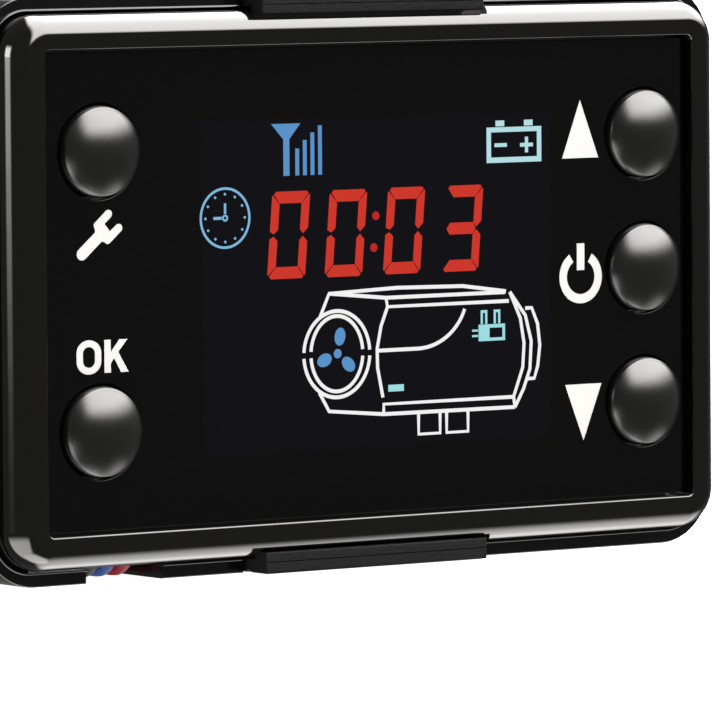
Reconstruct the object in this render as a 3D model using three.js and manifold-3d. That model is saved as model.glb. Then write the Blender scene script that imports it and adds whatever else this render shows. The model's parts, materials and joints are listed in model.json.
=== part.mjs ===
// Five-button display controller of a cab air heater, in its snap-in wall holder.
// Millimetres, +Z up. The front faces -Y. The origin is under the middle of the holder, on the
// surface that it stands on. Inside this file every depth is counted back from the frame's face.

import * as THREE from 'three';
import { mergeVertices } from 'three/addons/utils/BufferGeometryUtils.js';
import Module from 'manifold-3d';

const wasm = await Module();
wasm.setup();

// ---------------------------------------------------------------- driving dimensions

// Front frame: a glossy bezel round a sunk face
const OPENING_W = 87.5;
const OPENING_H = 52.2;
const OPENING_CORNER_R = 1;
const OPENING_CHAMFER = 0.25;
const RIM_SIDE_W = 4.1; // from the opening to the frame's outer side
const RIM_TOP_W = 3.8; // and to its top or bottom
const RIM_ROUND_W = 2; // the rounded shoulder's share of both
const RIM_ROUND_DEPTH = 3; // and how far back it runs
const FRAME_CORNER_R = 4.5;
const FRAME_DEPTH = 6;
const FRAME_WALL = 1.6;
const FACE_WALL = 1.5;
const POST_R = 2.3;
const POST_FROM_SIDE = 2.5; // the screw posts' middles, from the opening's sides
const POST_FROM_TOP = 2.2; // and from its top and bottom

// Lens panel and the tape behind it
const LENS_RECESS = 1.2;
const LENS_T = 1;
const TAPE_T = 0.2;

// Push buttons
const BUTTON_R = 4.98;
const BUTTON_PROUD = 0.7; // straight side above the lens
const BUTTON_DOME = 1.7;
const BUTTON_WALL = 1.2;
const BUTTON_TRAVEL = 0.5;
const COLLAR_OVERLAP = 0.7;
const COLLAR_T = 0.8;
const BUTTON_STEM_R = 1.6;
const BUTTON_STEM_PAST_COLLAR = 0.4;
const LEFT_COLUMN_FROM_SIDE = 7.45; // the buttons' middles, from the opening's sides
const RIGHT_COLUMN_FROM_SIDE = 6.25;
const ROW_FROM_TOP = 11; // and from its top and bottom

// Tactile switches
const SWITCH_SIZE = 6;
const SWITCH_H = 3;
const SWITCH_LEG = 1.1;
const PLUNGER_R = 1.7;
const PLUNGER_SUNK = 1.2;

// Display; its window keeps these distances from the opening's edges
const WINDOW_FROM_LEFT = 19.85;
const WINDOW_FROM_RIGHT = 18.25;
const WINDOW_FROM_TOP = 7.2;
const WINDOW_FROM_BOTTOM = 6.6;
const GLASS_MARGIN = 2.3; // how far the glass reaches past the window
const GLASS_T = 2;
const GLASS_LEDGE = 2.5;
const BACKLIGHT_T = 2.7;
const LOCATING_RIB_T = 0.8;
const LOCATING_RIB_H = 1.6;
const PIN_PITCH = 2.54;
const PIN_COUNT = 14;

// Circuit board and what stands on it
const BOARD_T = 1.6;
const BOARD_FROM_FACE = 5.4; // board's front behind the face wall
const PARTS_ROOM = 2.2; // behind the board, for the chips
const CHIP_X = -6;
const CHIP_Z = 2;
const CHIP_SIZE = 10;
const CHIP_H = 1.5;
const CHIP_LEADS = 9;
const CRYSTAL_L = 5;
const CRYSTAL_W = 3;
const CRYSTAL_H = 1.2;
const REGULATOR_L = 6.4;
const REGULATOR_W = 3.4;
const REGULATOR_H = 1.6;
const REGULATOR_LEG = 1.7;
const REGULATOR_FROM_SIDE = 17.7; // from the cover's inner side
const REGULATOR_Z = -10;
const RECEIVER_L = 16;
const RECEIVER_W = 10;
const RECEIVER_CAN_L = 10;
const RECEIVER_CAN_W = 7.5;
const RECEIVER_BOARD_T = 0.7;
const RECEIVER_H = 1.9;
const RECEIVER_FROM_SIDE = 21.7;
const RECEIVER_FROM_TOP = 12.4;
const BUZZER_R = 4.4;
const BUZZER_H = 4.6;
const CAPACITOR_R = 2.5;
const CAPACITOR_H = 4.2;
const CAPACITOR_FROM_TOP = 3.8;
const AERIAL_X = 2;
const AERIAL_FROM_TOP = 2.5;
const AERIAL_R = 1.7;
const AERIAL_WIRE_R = 0.4;
const AERIAL_PITCH = 2;
const AERIAL_TURNS = 7;
const HEADER_FROM_BOTTOM = 6.8; // the lead's header, by its upper end
const HEADER_H = 4.4;
const HEADER_WALL = 0.4;
const HEADER_REACH = 1.9; // its front wall's face, before the cores' middle
const HEADER_PIN = 0.5;

// Rear cover and its screws
const COVER_INSET = 1; // the cover's sides stand in from the frame's
const COVER_CORNER_R = 3.4;
const COVER_WALL = 1.6;
const COVER_BACK = 1.8;
const COVER_LIP = 1.4; // how far its lip reaches into the frame
const SCREW_R = 1.1;
const SCREW_HEAD_R = 2.1;
const SCREW_HEAD_H = 1.1;
const SCREW_LENGTH = 8;

// Wall holder
const HOLDER_WALL = 1.6;
const HOLDER_CORNER_R = 7;
const HOLDER_LIP_Y = 4.5; // the holder's front edge, behind the frame's face
const HOLDER_BACK = 2;
const HOLDER_GAP = 0.8; // between the rear cover and the back plate
const HOLDER_BACK_CHAMFER = 0.8;
const GUIDE_RIB_W = 1.6;
const WALL_SLOT_W = 4.5;
const WALL_SLOT_L = 9;
const WALL_SLOT_X = 30;
const WALL_SLOT_COUNTERBORE = 2.2;
const GUIDE_RIB_X = 22;
const GUIDE_RIB_Z = 14;
const PAD_X = 16;
const PAD_Z = 20;
const PAD_R = 3;
const CABLE_NOTCH_W = 10;
const CABLE_NOTCH_ASIDE = 0.65; // the notch's middle, to the right of the cores' middle
const CABLE_NOTCH_H = 7;

// Spring latches, top and bottom
const LATCH_W = 30;
const LATCH_FRONT_Y = 0.6;
const LATCH_ROOT_Y = 13;
const HOOK_DEPTH = 2.3;
const HOOK_BITE = 0.5; // how far the hook reaches over the frame's shoulder
const HOOK_CLEAR = 0.45;
const LATCH_SIDE_GAP = 0.4;
const LATCH_RIBS = 4;
const LATCH_RIB_PITCH = 1.5;
const LATCH_RIB_SINK = 0.3;
const REST_CLEAR = 0.1; // the lower latch stays clear of the surface stood on

// Lead: three cores, then one sheathed cable in a small coil, then a three-way plug
const CORE_R = 0.8;
const CORE_PITCH = 2.15;
const CORE_Y = 7.6;
const CORE_REST_Z = 0.85;
const CORE_BEND_R = 3.3;
const CABLE_R = 2.1;
const CABLE_Z = 2.7;
const BOOT_START_Y = 34;
const BOOT_LENGTH = 10;
const BOOT_R = 2.65;
const BOOT_NECK_START = 3; // where the flat end starts to turn into the round one
const BOOT_NECK_END = 7;
const COIL_X = 1;
const COIL_Y = 44.9;
const COIL_R = 23.3; // the outer turn's middle
const COIL_TURNS = 2;
const COIL_PITCH = 4.7; // between neighbouring turns, and between layers
const LEAD_IN_BEND_R = 18;
const TAIL_LENGTH = 23;
const PLUG_LENGTH = 20;
const PLUG_W = 16;
const PLUG_H = 10;
const PLUG_WAY = 2.2;
const PLUG_WAY_PITCH = 4.6;
const PLUG_WAY_DEPTH = 7;
const TIE_W = 3;
const TIE_T = 0.45;
const CORE_STEPS = 15;
const CABLE_STEPS = 78;

// Clearances
const SEAT_GAP = 0.05; // between flat faces laid on each other
const SIDE_GAP = 0.3; // round a piece dropped into its place
const BUTTON_GAP = 0.28; // between a button and its hole
const BESIDE_DISPLAY = 0.48; // between the display's fence and the parts next to it
const JOINT_GAP = 0.3; // between pieces that meet end to end

// Facets
const CORNER_STEPS = 5;
const ROUND_STEPS = 24;
const SMALL_ROUND_STEPS = 16;
const OVERRUN = 1; // how far a cut runs past the face that it opens

// ---------------------------------------------------------------- sizes that follow

const FRAME_W = OPENING_W + 2 * RIM_SIDE_W;
const FRAME_H = OPENING_H + 2 * RIM_TOP_W;
const FACE_Y = LENS_RECESS + LENS_T + TAPE_T + 2 * SEAT_GAP;
const FACE_BACK_Y = FACE_Y + FACE_WALL;
const BOARD_Y = FACE_BACK_Y + BOARD_FROM_FACE;
const BOARD_BACK_Y = BOARD_Y + BOARD_T;
const COVER_INNER_Y = BOARD_BACK_Y + PARTS_ROOM;
const COVER_BACK_Y = COVER_INNER_Y + COVER_BACK;
const COVER_W = FRAME_W - 2 * COVER_INSET;
const COVER_H = FRAME_H - 2 * COVER_INSET;
const POST_X = OPENING_W / 2 - POST_FROM_SIDE;
const POST_Z = OPENING_H / 2 - POST_FROM_TOP;
const LIP_W = FRAME_W - 2 * (FRAME_WALL + SIDE_GAP);
const LIP_H = FRAME_H - 2 * (FRAME_WALL + SIDE_GAP);
const LIP_Y = FRAME_DEPTH - COVER_LIP;
const HOLLOW_W = LIP_W - 2 * COVER_WALL;
const HOLLOW_H = LIP_H - 2 * COVER_WALL;
const PLATE_Y = COVER_BACK_Y + HOLDER_GAP;
const HOLDER_BACK_Y = PLATE_Y + HOLDER_BACK;
const TRAY_W = FRAME_W + 2 * SIDE_GAP;
const TRAY_H = FRAME_H + 2 * SIDE_GAP;
const TRAY_CORNER_R = FRAME_CORNER_R + SIDE_GAP;
const HOLDER_W = TRAY_W + 2 * HOLDER_WALL;
const HOLDER_H = TRAY_H + 2 * HOLDER_WALL;
const TABLE_Z = -HOLDER_H / 2;
const CREST_Y = LENS_RECESS - BUTTON_PROUD - BUTTON_DOME;
const COLLAR_Y = FACE_BACK_Y + SIDE_GAP / 2;
const STEM_END_Y = COLLAR_Y + COLLAR_T + BUTTON_STEM_PAST_COLLAR;
const SWITCH_Y = BOARD_Y - SWITCH_H - SEAT_GAP;
const BUTTON_HOLE_R = BUTTON_R + BUTTON_GAP;
const LEFT_COLUMN_X = LEFT_COLUMN_FROM_SIDE - OPENING_W / 2;
const RIGHT_COLUMN_X = OPENING_W / 2 - RIGHT_COLUMN_FROM_SIDE;
const BUTTON_ROW_Z = OPENING_H / 2 - ROW_FROM_TOP;
const WINDOW_W = OPENING_W - WINDOW_FROM_LEFT - WINDOW_FROM_RIGHT;
const WINDOW_H = OPENING_H - WINDOW_FROM_TOP - WINDOW_FROM_BOTTOM;
const WINDOW_X = (WINDOW_FROM_LEFT - WINDOW_FROM_RIGHT) / 2;
const WINDOW_Z = (WINDOW_FROM_BOTTOM - WINDOW_FROM_TOP) / 2;
const GLASS_Y = FACE_BACK_Y + SIDE_GAP;
const GLASS_W = WINDOW_W + 2 * GLASS_MARGIN;
const GLASS_H = WINDOW_H + 2 * GLASS_MARGIN;
const BACKLIGHT_Y = GLASS_Y + GLASS_T + SEAT_GAP;
const HOOK_Z = FRAME_H / 2 - HOOK_BITE;
const CABLE_PLANE_Z = TABLE_Z + CABLE_Z;
const FENCE_W = GLASS_W + 2 * (SIDE_GAP + LOCATING_RIB_T);
const FENCE_H = GLASS_H + 2 * (SIDE_GAP + LOCATING_RIB_T);
const BESIDE_X = WINDOW_X - FENCE_W / 2 - BESIDE_DISPLAY;
const CAPACITOR_FOOT = 2 * CAPACITOR_R + SIDE_GAP;
const HEADER_W = 3 * CORE_PITCH + 4 * HEADER_WALL;
const HEADER_Z = HEADER_FROM_BOTTOM - HOLLOW_H / 2;
const CORE_X = BESIDE_X - HEADER_W / 2;
const CORE_TOP_Z = HEADER_Z - HEADER_H - 1 - JOINT_GAP;

const BUTTONS = [
  { name: 'settings', x: LEFT_COLUMN_X, z: BUTTON_ROW_Z },
  { name: 'ok', x: LEFT_COLUMN_X, z: -BUTTON_ROW_Z },
  { name: 'up', x: RIGHT_COLUMN_X, z: BUTTON_ROW_Z },
  { name: 'power', x: RIGHT_COLUMN_X, z: 0 },
  { name: 'down', x: RIGHT_COLUMN_X, z: -BUTTON_ROW_Z },
];
const SIDES = [-1, 1];
const POSTS = SIDES.flatMap((sx) => SIDES.map((sz) => ({ x: sx * POST_X, z: sz * POST_Z })));

// ---------------------------------------------------------------- materials

const finish = (color, roughness, metalness = 0) =>
  new THREE.MeshStandardMaterial({ color, roughness, metalness });

const glossBlack = () => finish(0x0b0b0c, 0.12);
const satinBlack = () => finish(0x17181a, 0.5);
const lensBlack = () => finish(0x09090b, 0.08);
const buttonGrey = () => finish(0x2b2c2e, 0.38);
const boardGreen = () => finish(0x1d5a38, 0.45);
const chipBlack = () => finish(0x1b1b1d, 0.6);
const whitePlastic = () => finish(0xe4e4df, 0.5);
const tinned = () => finish(0xb9bcc0, 0.35, 1);

// ---------------------------------------------------------------- solids

// A closed geometry as a solid that can be cut and joined, with its faces out.
function solid(geometry) {
  const bare = geometry.clone();
  for (const extra of ['normal', 'uv']) bare.deleteAttribute(extra);
  const merged = mergeVertices(bare, 1e-4);
  const points = merged.attributes.position.array;
  const corner = (i) => new THREE.Vector3().fromArray(points, 3 * i);
  const triangles = [];
  let volume = 0;
  for (let i = 0; i < merged.index.count; i += 3) {
    const [a, b, c] = merged.index.array.slice(i, i + 3);
    if (a === b || b === c || c === a) continue;
    triangles.push([a, b, c]);
    volume += corner(a).dot(corner(b).cross(corner(c)));
  }
  const turned = volume < 0 ? triangles.map(([a, b, c]) => [a, c, b]) : triangles;
  return new wasm.Manifold(
    new wasm.Mesh({
      numProp: 3,
      vertProperties: Float32Array.from(points),
      triVerts: Uint32Array.from(turned.flat()),
    }),
  );
}

const joined = (first, ...rest) => rest.reduce((whole, next) => whole.add(next), first);
const cutBy = (first, ...rest) => rest.reduce((whole, next) => whole.subtract(next), first);

// A box between two corners.
function block([x0, y0, z0], [x1, y1, z1]) {
  const box = new THREE.BoxGeometry(x1 - x0, y1 - y0, z1 - z0);
  return solid(box.translate((x0 + x1) / 2, (y0 + y1) / 2, (z0 + z1) / 2));
}

// A rectangle with round corners, as points about its middle, and as an outline.
function roundedPoints(w, h, r) {
  const points = [];
  [[1, 1], [-1, 1], [-1, -1], [1, -1]].forEach(([sx, sz], quarter) => {
    for (let i = 0; i <= CORNER_STEPS; i++) {
      const turn = (quarter + i / CORNER_STEPS) * (Math.PI / 2);
      const [x, z] = [sx * (w / 2 - r), sz * (h / 2 - r)];
      points.push(new THREE.Vector2(x + r * Math.cos(turn), z + r * Math.sin(turn)));
    }
  });
  return points;
}

const roundedRect = (w, h, r) => new THREE.Shape(roundedPoints(w, h, r));

// An outline in X and Z, made solid from one depth to another.
function slab(outline, y0, y1, x = 0, z = 0) {
  const form = new THREE.ExtrudeGeometry(outline, { depth: y1 - y0, bevelEnabled: false });
  return solid(form.rotateX(Math.PI / 2).translate(x, y1, z));
}

// A solid skinned over rounded rectangles, each with its own depth, size and corner.
function loft(tiers) {
  const loops = tiers.map(({ y, w, h, r }) => roundedPoints(w, h, r).map((p) => [p.x, y, p.y]));
  const n = loops[0].length;
  const index = [];
  for (let k = 0; k + 1 < loops.length; k++) {
    for (let i = 0; i < n; i++) {
      const [a, b] = [k * n + i, k * n + ((i + 1) % n)];
      index.push(a, b, b + n, a, b + n, a + n);
    }
  }
  const last = (loops.length - 1) * n;
  for (let i = 1; i + 1 < n; i++) {
    index.push(0, i + 1, i);
    index.push(last, last + i, last + i + 1);
  }
  const form = new THREE.BufferGeometry();
  form.setAttribute('position', new THREE.Float32BufferAttribute(loops.flat(2), 3));
  form.setIndex(index);
  return solid(form);
}

// A profile of [radius, depth] points, turned about a line along Y.
function turned(profile, x, z, steps = ROUND_STEPS) {
  const line = profile.map(([r, y]) => new THREE.Vector2(r, y));
  return solid(new THREE.LatheGeometry(line, steps).translate(x, 0, z));
}

const rod = (r, y0, y1, x, z, steps = SMALL_ROUND_STEPS) =>
  turned([[0, y0], [r, y0], [r, y1], [0, y1]], x, z, steps);

// A tube along a curve, with flat ends.
function tube(curve, r, sides, steps) {
  const ring = new THREE.Shape();
  for (let i = 0; i < sides; i++) {
    const turn = (2 * Math.PI * i) / sides;
    ring[i ? 'lineTo' : 'moveTo'](r * Math.cos(turn), r * Math.sin(turn));
  }
  ring.closePath();
  return solid(new THREE.ExtrudeGeometry(ring, { steps, extrudePath: curve }));
}

const controller = new THREE.Group();
controller.position.set(0, -(CREST_Y + HOLDER_BACK_Y) / 2, HOLDER_H / 2);

function add(name, body, material) {
  const { vertProperties, triVerts } = body.getMesh();
  const form = new THREE.BufferGeometry();
  form.setAttribute('position', new THREE.BufferAttribute(vertProperties, 3));
  form.setIndex(new THREE.BufferAttribute(triVerts, 1));
  form.computeVertexNormals();
  const mesh = new THREE.Mesh(form, material);
  mesh.name = name;
  controller.add(mesh);
}

// ---------------------------------------------------------------- front frame

// The frame's outside: a flat land, a quarter-oval shoulder and straight sides.
function frameOutside() {
  const tiers = [];
  const steps = 6;
  for (let i = 0; i <= steps; i++) {
    const t = (i / steps) * (Math.PI / 2);
    const inward = RIM_ROUND_W * (1 - Math.sin(t));
    tiers.push({
      y: RIM_ROUND_DEPTH * (1 - Math.cos(t)),
      w: FRAME_W - 2 * inward,
      h: FRAME_H - 2 * inward,
      r: FRAME_CORNER_R - inward,
    });
  }
  tiers.push({ y: FRAME_DEPTH, w: FRAME_W, h: FRAME_H, r: FRAME_CORNER_R });
  return loft(tiers);
}

// The sunk face's opening, with its edge taken off.
function faceOpening() {
  const edge = 2 * (OPENING_CHAMFER + OVERRUN);
  const well = roundedRect(OPENING_W, OPENING_H, OPENING_CORNER_R);
  return joined(
    slab(well, -OVERRUN, FACE_Y),
    loft([
      { y: -OVERRUN, w: OPENING_W + edge, h: OPENING_H + edge, r: OPENING_CORNER_R + edge / 2 },
      { y: OPENING_CHAMFER, w: OPENING_W, h: OPENING_H, r: OPENING_CORNER_R },
    ]),
  );
}

// The holes that the lens, its tape and the face wall share.
function buttonHoles(y0, y1) {
  const holes = BUTTONS.map(({ x, z }) => rod(BUTTON_HOLE_R, y0, y1, x, z, ROUND_STEPS));
  return joined(...holes);
}

const windowCut = (y0, y1) =>
  slab(roundedRect(WINDOW_W, WINDOW_H, OPENING_CORNER_R), y0, y1, WINDOW_X, WINDOW_Z);

// The shoulder is cut away under a latch's hook, with slanting ends.
function hookSeat(side) {
  const floorZ = HOOK_Z - HOOK_CLEAR;
  const half = LATCH_W / 2 + HOOK_CLEAR;
  const rise = FRAME_H / 2 + OVERRUN - floorZ;
  const seat = new THREE.Shape();
  seat.moveTo(-half, 0);
  seat.lineTo(half, 0);
  seat.lineTo(half + rise, rise);
  seat.lineTo(-half - rise, rise);
  seat.closePath();
  const form = new THREE.ExtrudeGeometry(seat, {
    depth: LATCH_FRONT_Y + HOOK_DEPTH + JOINT_GAP + OVERRUN,
    bevelEnabled: false,
  });
  form.rotateX(Math.PI / 2).translate(0, LATCH_FRONT_Y + HOOK_DEPTH + JOINT_GAP, floorZ);
  if (side < 0) form.rotateY(Math.PI);
  return solid(form);
}

// Low walls that locate the display glass behind its window.
function displayFence() {
  const inner = roundedRect(GLASS_W + 2 * SIDE_GAP, GLASS_H + 2 * SIDE_GAP, 1);
  const outer = roundedRect(FENCE_W, FENCE_H, 1);
  const [y0, y1] = [FACE_BACK_Y - SEAT_GAP, FACE_BACK_Y + LOCATING_RIB_H];
  return cutBy(
    slab(outer, y0, y1, WINDOW_X, WINDOW_Z),
    slab(inner, y0 - OVERRUN, y1 + OVERRUN, WINDOW_X, WINDOW_Z),
  );
}

function frontFrame() {
  const [innerW, innerH] = [FRAME_W - 2 * FRAME_WALL, FRAME_H - 2 * FRAME_WALL];
  const pocket = slab(
    roundedRect(innerW, innerH, FRAME_CORNER_R - FRAME_WALL),
    FACE_BACK_Y,
    FRAME_DEPTH + OVERRUN,
  );
  const postEnd = BOARD_BACK_Y + PARTS_ROOM / 2;
  const posts = POSTS.map(({ x, z }) => rod(POST_R, FACE_BACK_Y - SEAT_GAP, postEnd, x, z));
  const pilots = POSTS.map(({ x, z }) =>
    rod(SCREW_R + SIDE_GAP, FACE_BACK_Y + FACE_WALL, postEnd + OVERRUN, x, z),
  );
  const shell = cutBy(
    frameOutside(),
    faceOpening(),
    pocket,
    windowCut(FACE_Y - OVERRUN, FACE_BACK_Y + OVERRUN),
    buttonHoles(FACE_Y - OVERRUN, FACE_BACK_Y + OVERRUN),
    ...SIDES.map(hookSeat),
  );
  return cutBy(joined(shell, displayFence(), ...posts), ...pilots);
}

add('front_frame', frontFrame(), glossBlack());

// ---------------------------------------------------------------- lens panel and its tape

const PANEL_OUTLINE = roundedRect(
  OPENING_W - 2 * SIDE_GAP,
  OPENING_H - 2 * SIDE_GAP,
  OPENING_CORNER_R,
);

function lensPanel() {
  const [y0, y1] = [LENS_RECESS, LENS_RECESS + LENS_T];
  return cutBy(slab(PANEL_OUTLINE, y0, y1), buttonHoles(y0 - OVERRUN, y1 + OVERRUN));
}

function lensTape() {
  const y0 = LENS_RECESS + LENS_T + SEAT_GAP;
  const y1 = y0 + TAPE_T;
  return cutBy(
    slab(PANEL_OUTLINE, y0, y1),
    buttonHoles(y0 - OVERRUN, y1 + OVERRUN),
    windowCut(y0 - OVERRUN, y1 + OVERRUN),
  );
}

add('lens_panel', lensPanel(), lensBlack());
add('lens_tape', lensTape(), satinBlack());

// ---------------------------------------------------------------- buttons and switches

// A domed cap with a thin wall, a collar that holds it in, and a stem on the switch.
function buttonCap(x, z) {
  const ballR = (BUTTON_R ** 2 + BUTTON_DOME ** 2) / (2 * BUTTON_DOME);
  const domeY = (r) => CREST_Y + ballR - Math.sqrt(ballR ** 2 - r ** 2);
  const innerR = BUTTON_R - BUTTON_WALL;
  const steps = 7;
  const dome = [];
  const under = [];
  for (let i = 0; i <= steps; i++) {
    const r = (BUTTON_R * i) / steps;
    dome.push([r, domeY(r)]);
    const inside = innerR - ((innerR - BUTTON_STEM_R) * i) / steps;
    if (i % 2) under.push([inside, domeY(inside) + BUTTON_WALL]);
  }
  const collarEnd = COLLAR_Y + COLLAR_T;
  const collarR = BUTTON_HOLE_R + COLLAR_OVERLAP;
  return turned(
    [
      ...dome,
      [BUTTON_R, COLLAR_Y],
      [collarR, COLLAR_Y],
      [collarR, collarEnd],
      [innerR, collarEnd],
      ...under,
      [BUTTON_STEM_R, STEM_END_Y],
      [0, STEM_END_Y],
    ],
    x,
    z,
  );
}

// The switch's own plunger stands in a bore and sinks with the button.
function switchPlunger(x, z) {
  return rod(PLUNGER_R, STEM_END_Y + SEAT_GAP, SWITCH_Y + PLUNGER_SUNK, x, z);
}

function switchBody(x, z) {
  const half = SWITCH_SIZE / 2;
  const foot = BOARD_Y - SEAT_GAP;
  const boreEnd = SWITCH_Y + PLUNGER_SUNK + BUTTON_TRAVEL + SIDE_GAP;
  const legs = SIDES.flatMap((sx) =>
    SIDES.map((sz) => {
      const [inner, outer] = [half - SWITCH_LEG / 2, half + SWITCH_LEG];
      const reach = sx > 0 ? [x + inner, x + outer] : [x - outer, x - inner];
      const middle = z + (sz * half) / 1.4;
      const thick = SWITCH_LEG / 3;
      return block(
        [reach[0], foot - thick, middle - thick],
        [reach[1], foot, middle + thick],
      );
    }),
  );
  return cutBy(
    joined(slab(roundedRect(SWITCH_SIZE, SWITCH_SIZE, 0.6), SWITCH_Y, foot, x, z), ...legs),
    rod(PLUNGER_R + BUTTON_GAP, SWITCH_Y - OVERRUN, boreEnd, x, z),
  );
}

for (const { name, x, z } of BUTTONS) {
  add(`${name}_button`, buttonCap(x, z), buttonGrey());
  add(`${name}_plunger`, switchPlunger(x, z), finish(0x8a3a2c, 0.5));
  add(`${name}_switch`, switchBody(x, z), chipBlack());
}

// ---------------------------------------------------------------- display

// Two glass plates; the lower one keeps a ledge for the contacts.
function displayGlass() {
  const middle = GLASS_Y + GLASS_T / 2;
  const front = roundedRect(GLASS_W, GLASS_H - 2 * GLASS_LEDGE, 0.4);
  const rear = roundedRect(GLASS_W, GLASS_H, 0.4);
  return joined(
    slab(front, GLASS_Y, middle + SEAT_GAP, WINDOW_X, WINDOW_Z),
    slab(rear, middle, GLASS_Y + GLASS_T, WINDOW_X, WINDOW_Z),
  );
}

// The light box behind the glass, with feet that set it off the board.
function backlight() {
  const y1 = BACKLIGHT_Y + BACKLIGHT_T;
  const [w, h] = [GLASS_W - GLASS_LEDGE, GLASS_H - 2 * GLASS_LEDGE];
  const feet = SIDES.flatMap((sx) =>
    SIDES.map((sz) =>
      rod(
        1,
        y1 - SEAT_GAP,
        BOARD_Y - SEAT_GAP,
        WINDOW_X + sx * (w / 2 - 2),
        WINDOW_Z + sz * (h / 2 - 2),
      ),
    ),
  );
  return joined(slab(roundedRect(w, h, 1), BACKLIGHT_Y, y1, WINDOW_X, WINDOW_Z), ...feet);
}

// A comb of pins from the glass's ledge down to the board.
function pinRow(side) {
  const z = WINDOW_Z + side * (GLASS_H / 2 - GLASS_LEDGE / 2);
  const [y0, y1] = [GLASS_Y + GLASS_T + SEAT_GAP, BOARD_Y - SEAT_GAP];
  const span = PIN_PITCH * (PIN_COUNT - 1);
  const strip = block(
    [WINDOW_X - span / 2 - 1, (y0 + y1) / 2, z - 0.5],
    [WINDOW_X + span / 2 + 1, y1, z + 0.5],
  );
  const pins = [];
  for (let i = 0; i < PIN_COUNT; i++) {
    const x = WINDOW_X - span / 2 + i * PIN_PITCH;
    pins.push(block([x - 0.25, y0, z - 0.25], [x + 0.25, y1 - SEAT_GAP, z + 0.25]));
  }
  return joined(strip, ...pins);
}

add('display_glass', displayGlass(), finish(0x101418, 0.1));
add('display_backlight', backlight(), whitePlastic());
add('display_pins_upper', pinRow(1), tinned());
add('display_pins_lower', pinRow(-1), tinned());

// ---------------------------------------------------------------- circuit board

const CORE_XS = [-1, 0, 1].map((i) => CORE_X + i * CORE_PITCH);

// The board fills the cover's hollow, with its corners cut off beside the screw posts.
function mainBoard() {
  const [w, h] = [HOLLOW_W - 2 * SIDE_GAP, HOLLOW_H - 2 * SIDE_GAP];
  const [x, z] = [POST_X - POST_R - SIDE_GAP, POST_Z - POST_R - SIDE_GAP];
  return joined(
    slab(roundedRect(w, 2 * z, 0.5), BOARD_Y, BOARD_BACK_Y),
    slab(roundedRect(2 * x, h, 0.5), BOARD_Y, BOARD_BACK_Y),
  );
}

// A flat package with a row of bent leads on two sides.
function chip(x, z) {
  const [y0, half] = [BOARD_BACK_Y + SEAT_GAP, CHIP_SIZE / 2];
  const pitch = (CHIP_SIZE - 1) / CHIP_LEADS;
  const leads = [];
  for (const side of SIDES) {
    for (let i = 0; i < CHIP_LEADS; i++) {
      const at = z + (i - (CHIP_LEADS - 1) / 2) * pitch;
      const reach = [x + side * (half - 0.5), x + side * (half + 1)].sort((a, b) => a - b);
      leads.push(block([reach[0], y0, at - 0.25], [reach[1], y0 + 0.3, at + 0.25]));
    }
  }
  const body = slab(roundedRect(CHIP_SIZE, CHIP_SIZE, 0.3), y0, y0 + CHIP_H, x, z);
  return joined(body, ...leads);
}

function crystal(x, z) {
  const y0 = BOARD_BACK_Y + SEAT_GAP;
  const can = roundedRect(CRYSTAL_L, CRYSTAL_W, 1);
  return slab(can, y0, y0 + CRYSTAL_H, x + CRYSTAL_L / 2, z + CRYSTAL_W / 2);
}

// A three-pin regulator on its metal tab.
function regulator(x, z) {
  const y0 = BOARD_BACK_Y + SEAT_GAP;
  const [half, wide, reach] = [REGULATOR_L / 2, REGULATOR_W / 2, REGULATOR_W / 2 + REGULATOR_LEG];
  const legs = [-1, 0, 1].map((i) => {
    const at = x + i * REGULATOR_L * 0.36;
    return block([at - 0.35, y0, z - reach], [at + 0.35, y0 + 0.3, z - wide / 2]);
  });
  return joined(
    block([x - half, y0, z - wide], [x + half, y0 + REGULATOR_H, z + wide]),
    block([x - half / 2, y0, z + wide / 2], [x + half / 2, y0 + 0.3, z + reach]),
    ...legs,
  );
}

// The remote control's receiver: a small board with its screening can near one end.
function receiver(x, z) {
  const y0 = BOARD_BACK_Y + SEAT_GAP;
  const [half, wide] = [RECEIVER_L / 2, RECEIVER_W / 2];
  const canX = x - half + RECEIVER_CAN_L / 2 + 1;
  return joined(
    block([x - half, y0, z - wide], [x + half, y0 + RECEIVER_BOARD_T, z + wide]),
    slab(
      roundedRect(RECEIVER_CAN_L, RECEIVER_CAN_W, 0.5),
      y0 + RECEIVER_BOARD_T - SEAT_GAP,
      y0 + RECEIVER_H,
      canX,
      z,
    ),
  );
}

// The aerial is a spring of wire with one end bent down to the board.
class AerialLine extends THREE.Curve {
  constructor(x, y, z) {
    super();
    this.start = [x, y, z];
  }

  getPoint(t, target = new THREE.Vector3()) {
    const [x, y, z] = this.start;
    const turn = 2 * Math.PI * AERIAL_TURNS * t;
    return target.set(
      x + AERIAL_PITCH * AERIAL_TURNS * t,
      y + AERIAL_R * Math.cos(turn),
      z + AERIAL_R * Math.sin(turn),
    );
  }
}

function aerial(x, z) {
  const y = BOARD_Y - SIDE_GAP - AERIAL_R - AERIAL_WIRE_R;
  const winding = tube(new AerialLine(x, y, z), AERIAL_WIRE_R, 5, 8 * AERIAL_TURNS);
  const leg = rod(AERIAL_WIRE_R, y + AERIAL_R - 0.2, BOARD_Y - SEAT_GAP, x, z, 8);
  return joined(winding, leg);
}

function buzzer(x, z) {
  const [y0, y1] = [BOARD_Y - SEAT_GAP - BUZZER_H, BOARD_Y - SEAT_GAP];
  return cutBy(
    rod(BUZZER_R, y0, y1, x, z, ROUND_STEPS),
    rod(0.8, y0 - OVERRUN, y0 + 1.5, x, z, 12),
  );
}

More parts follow.
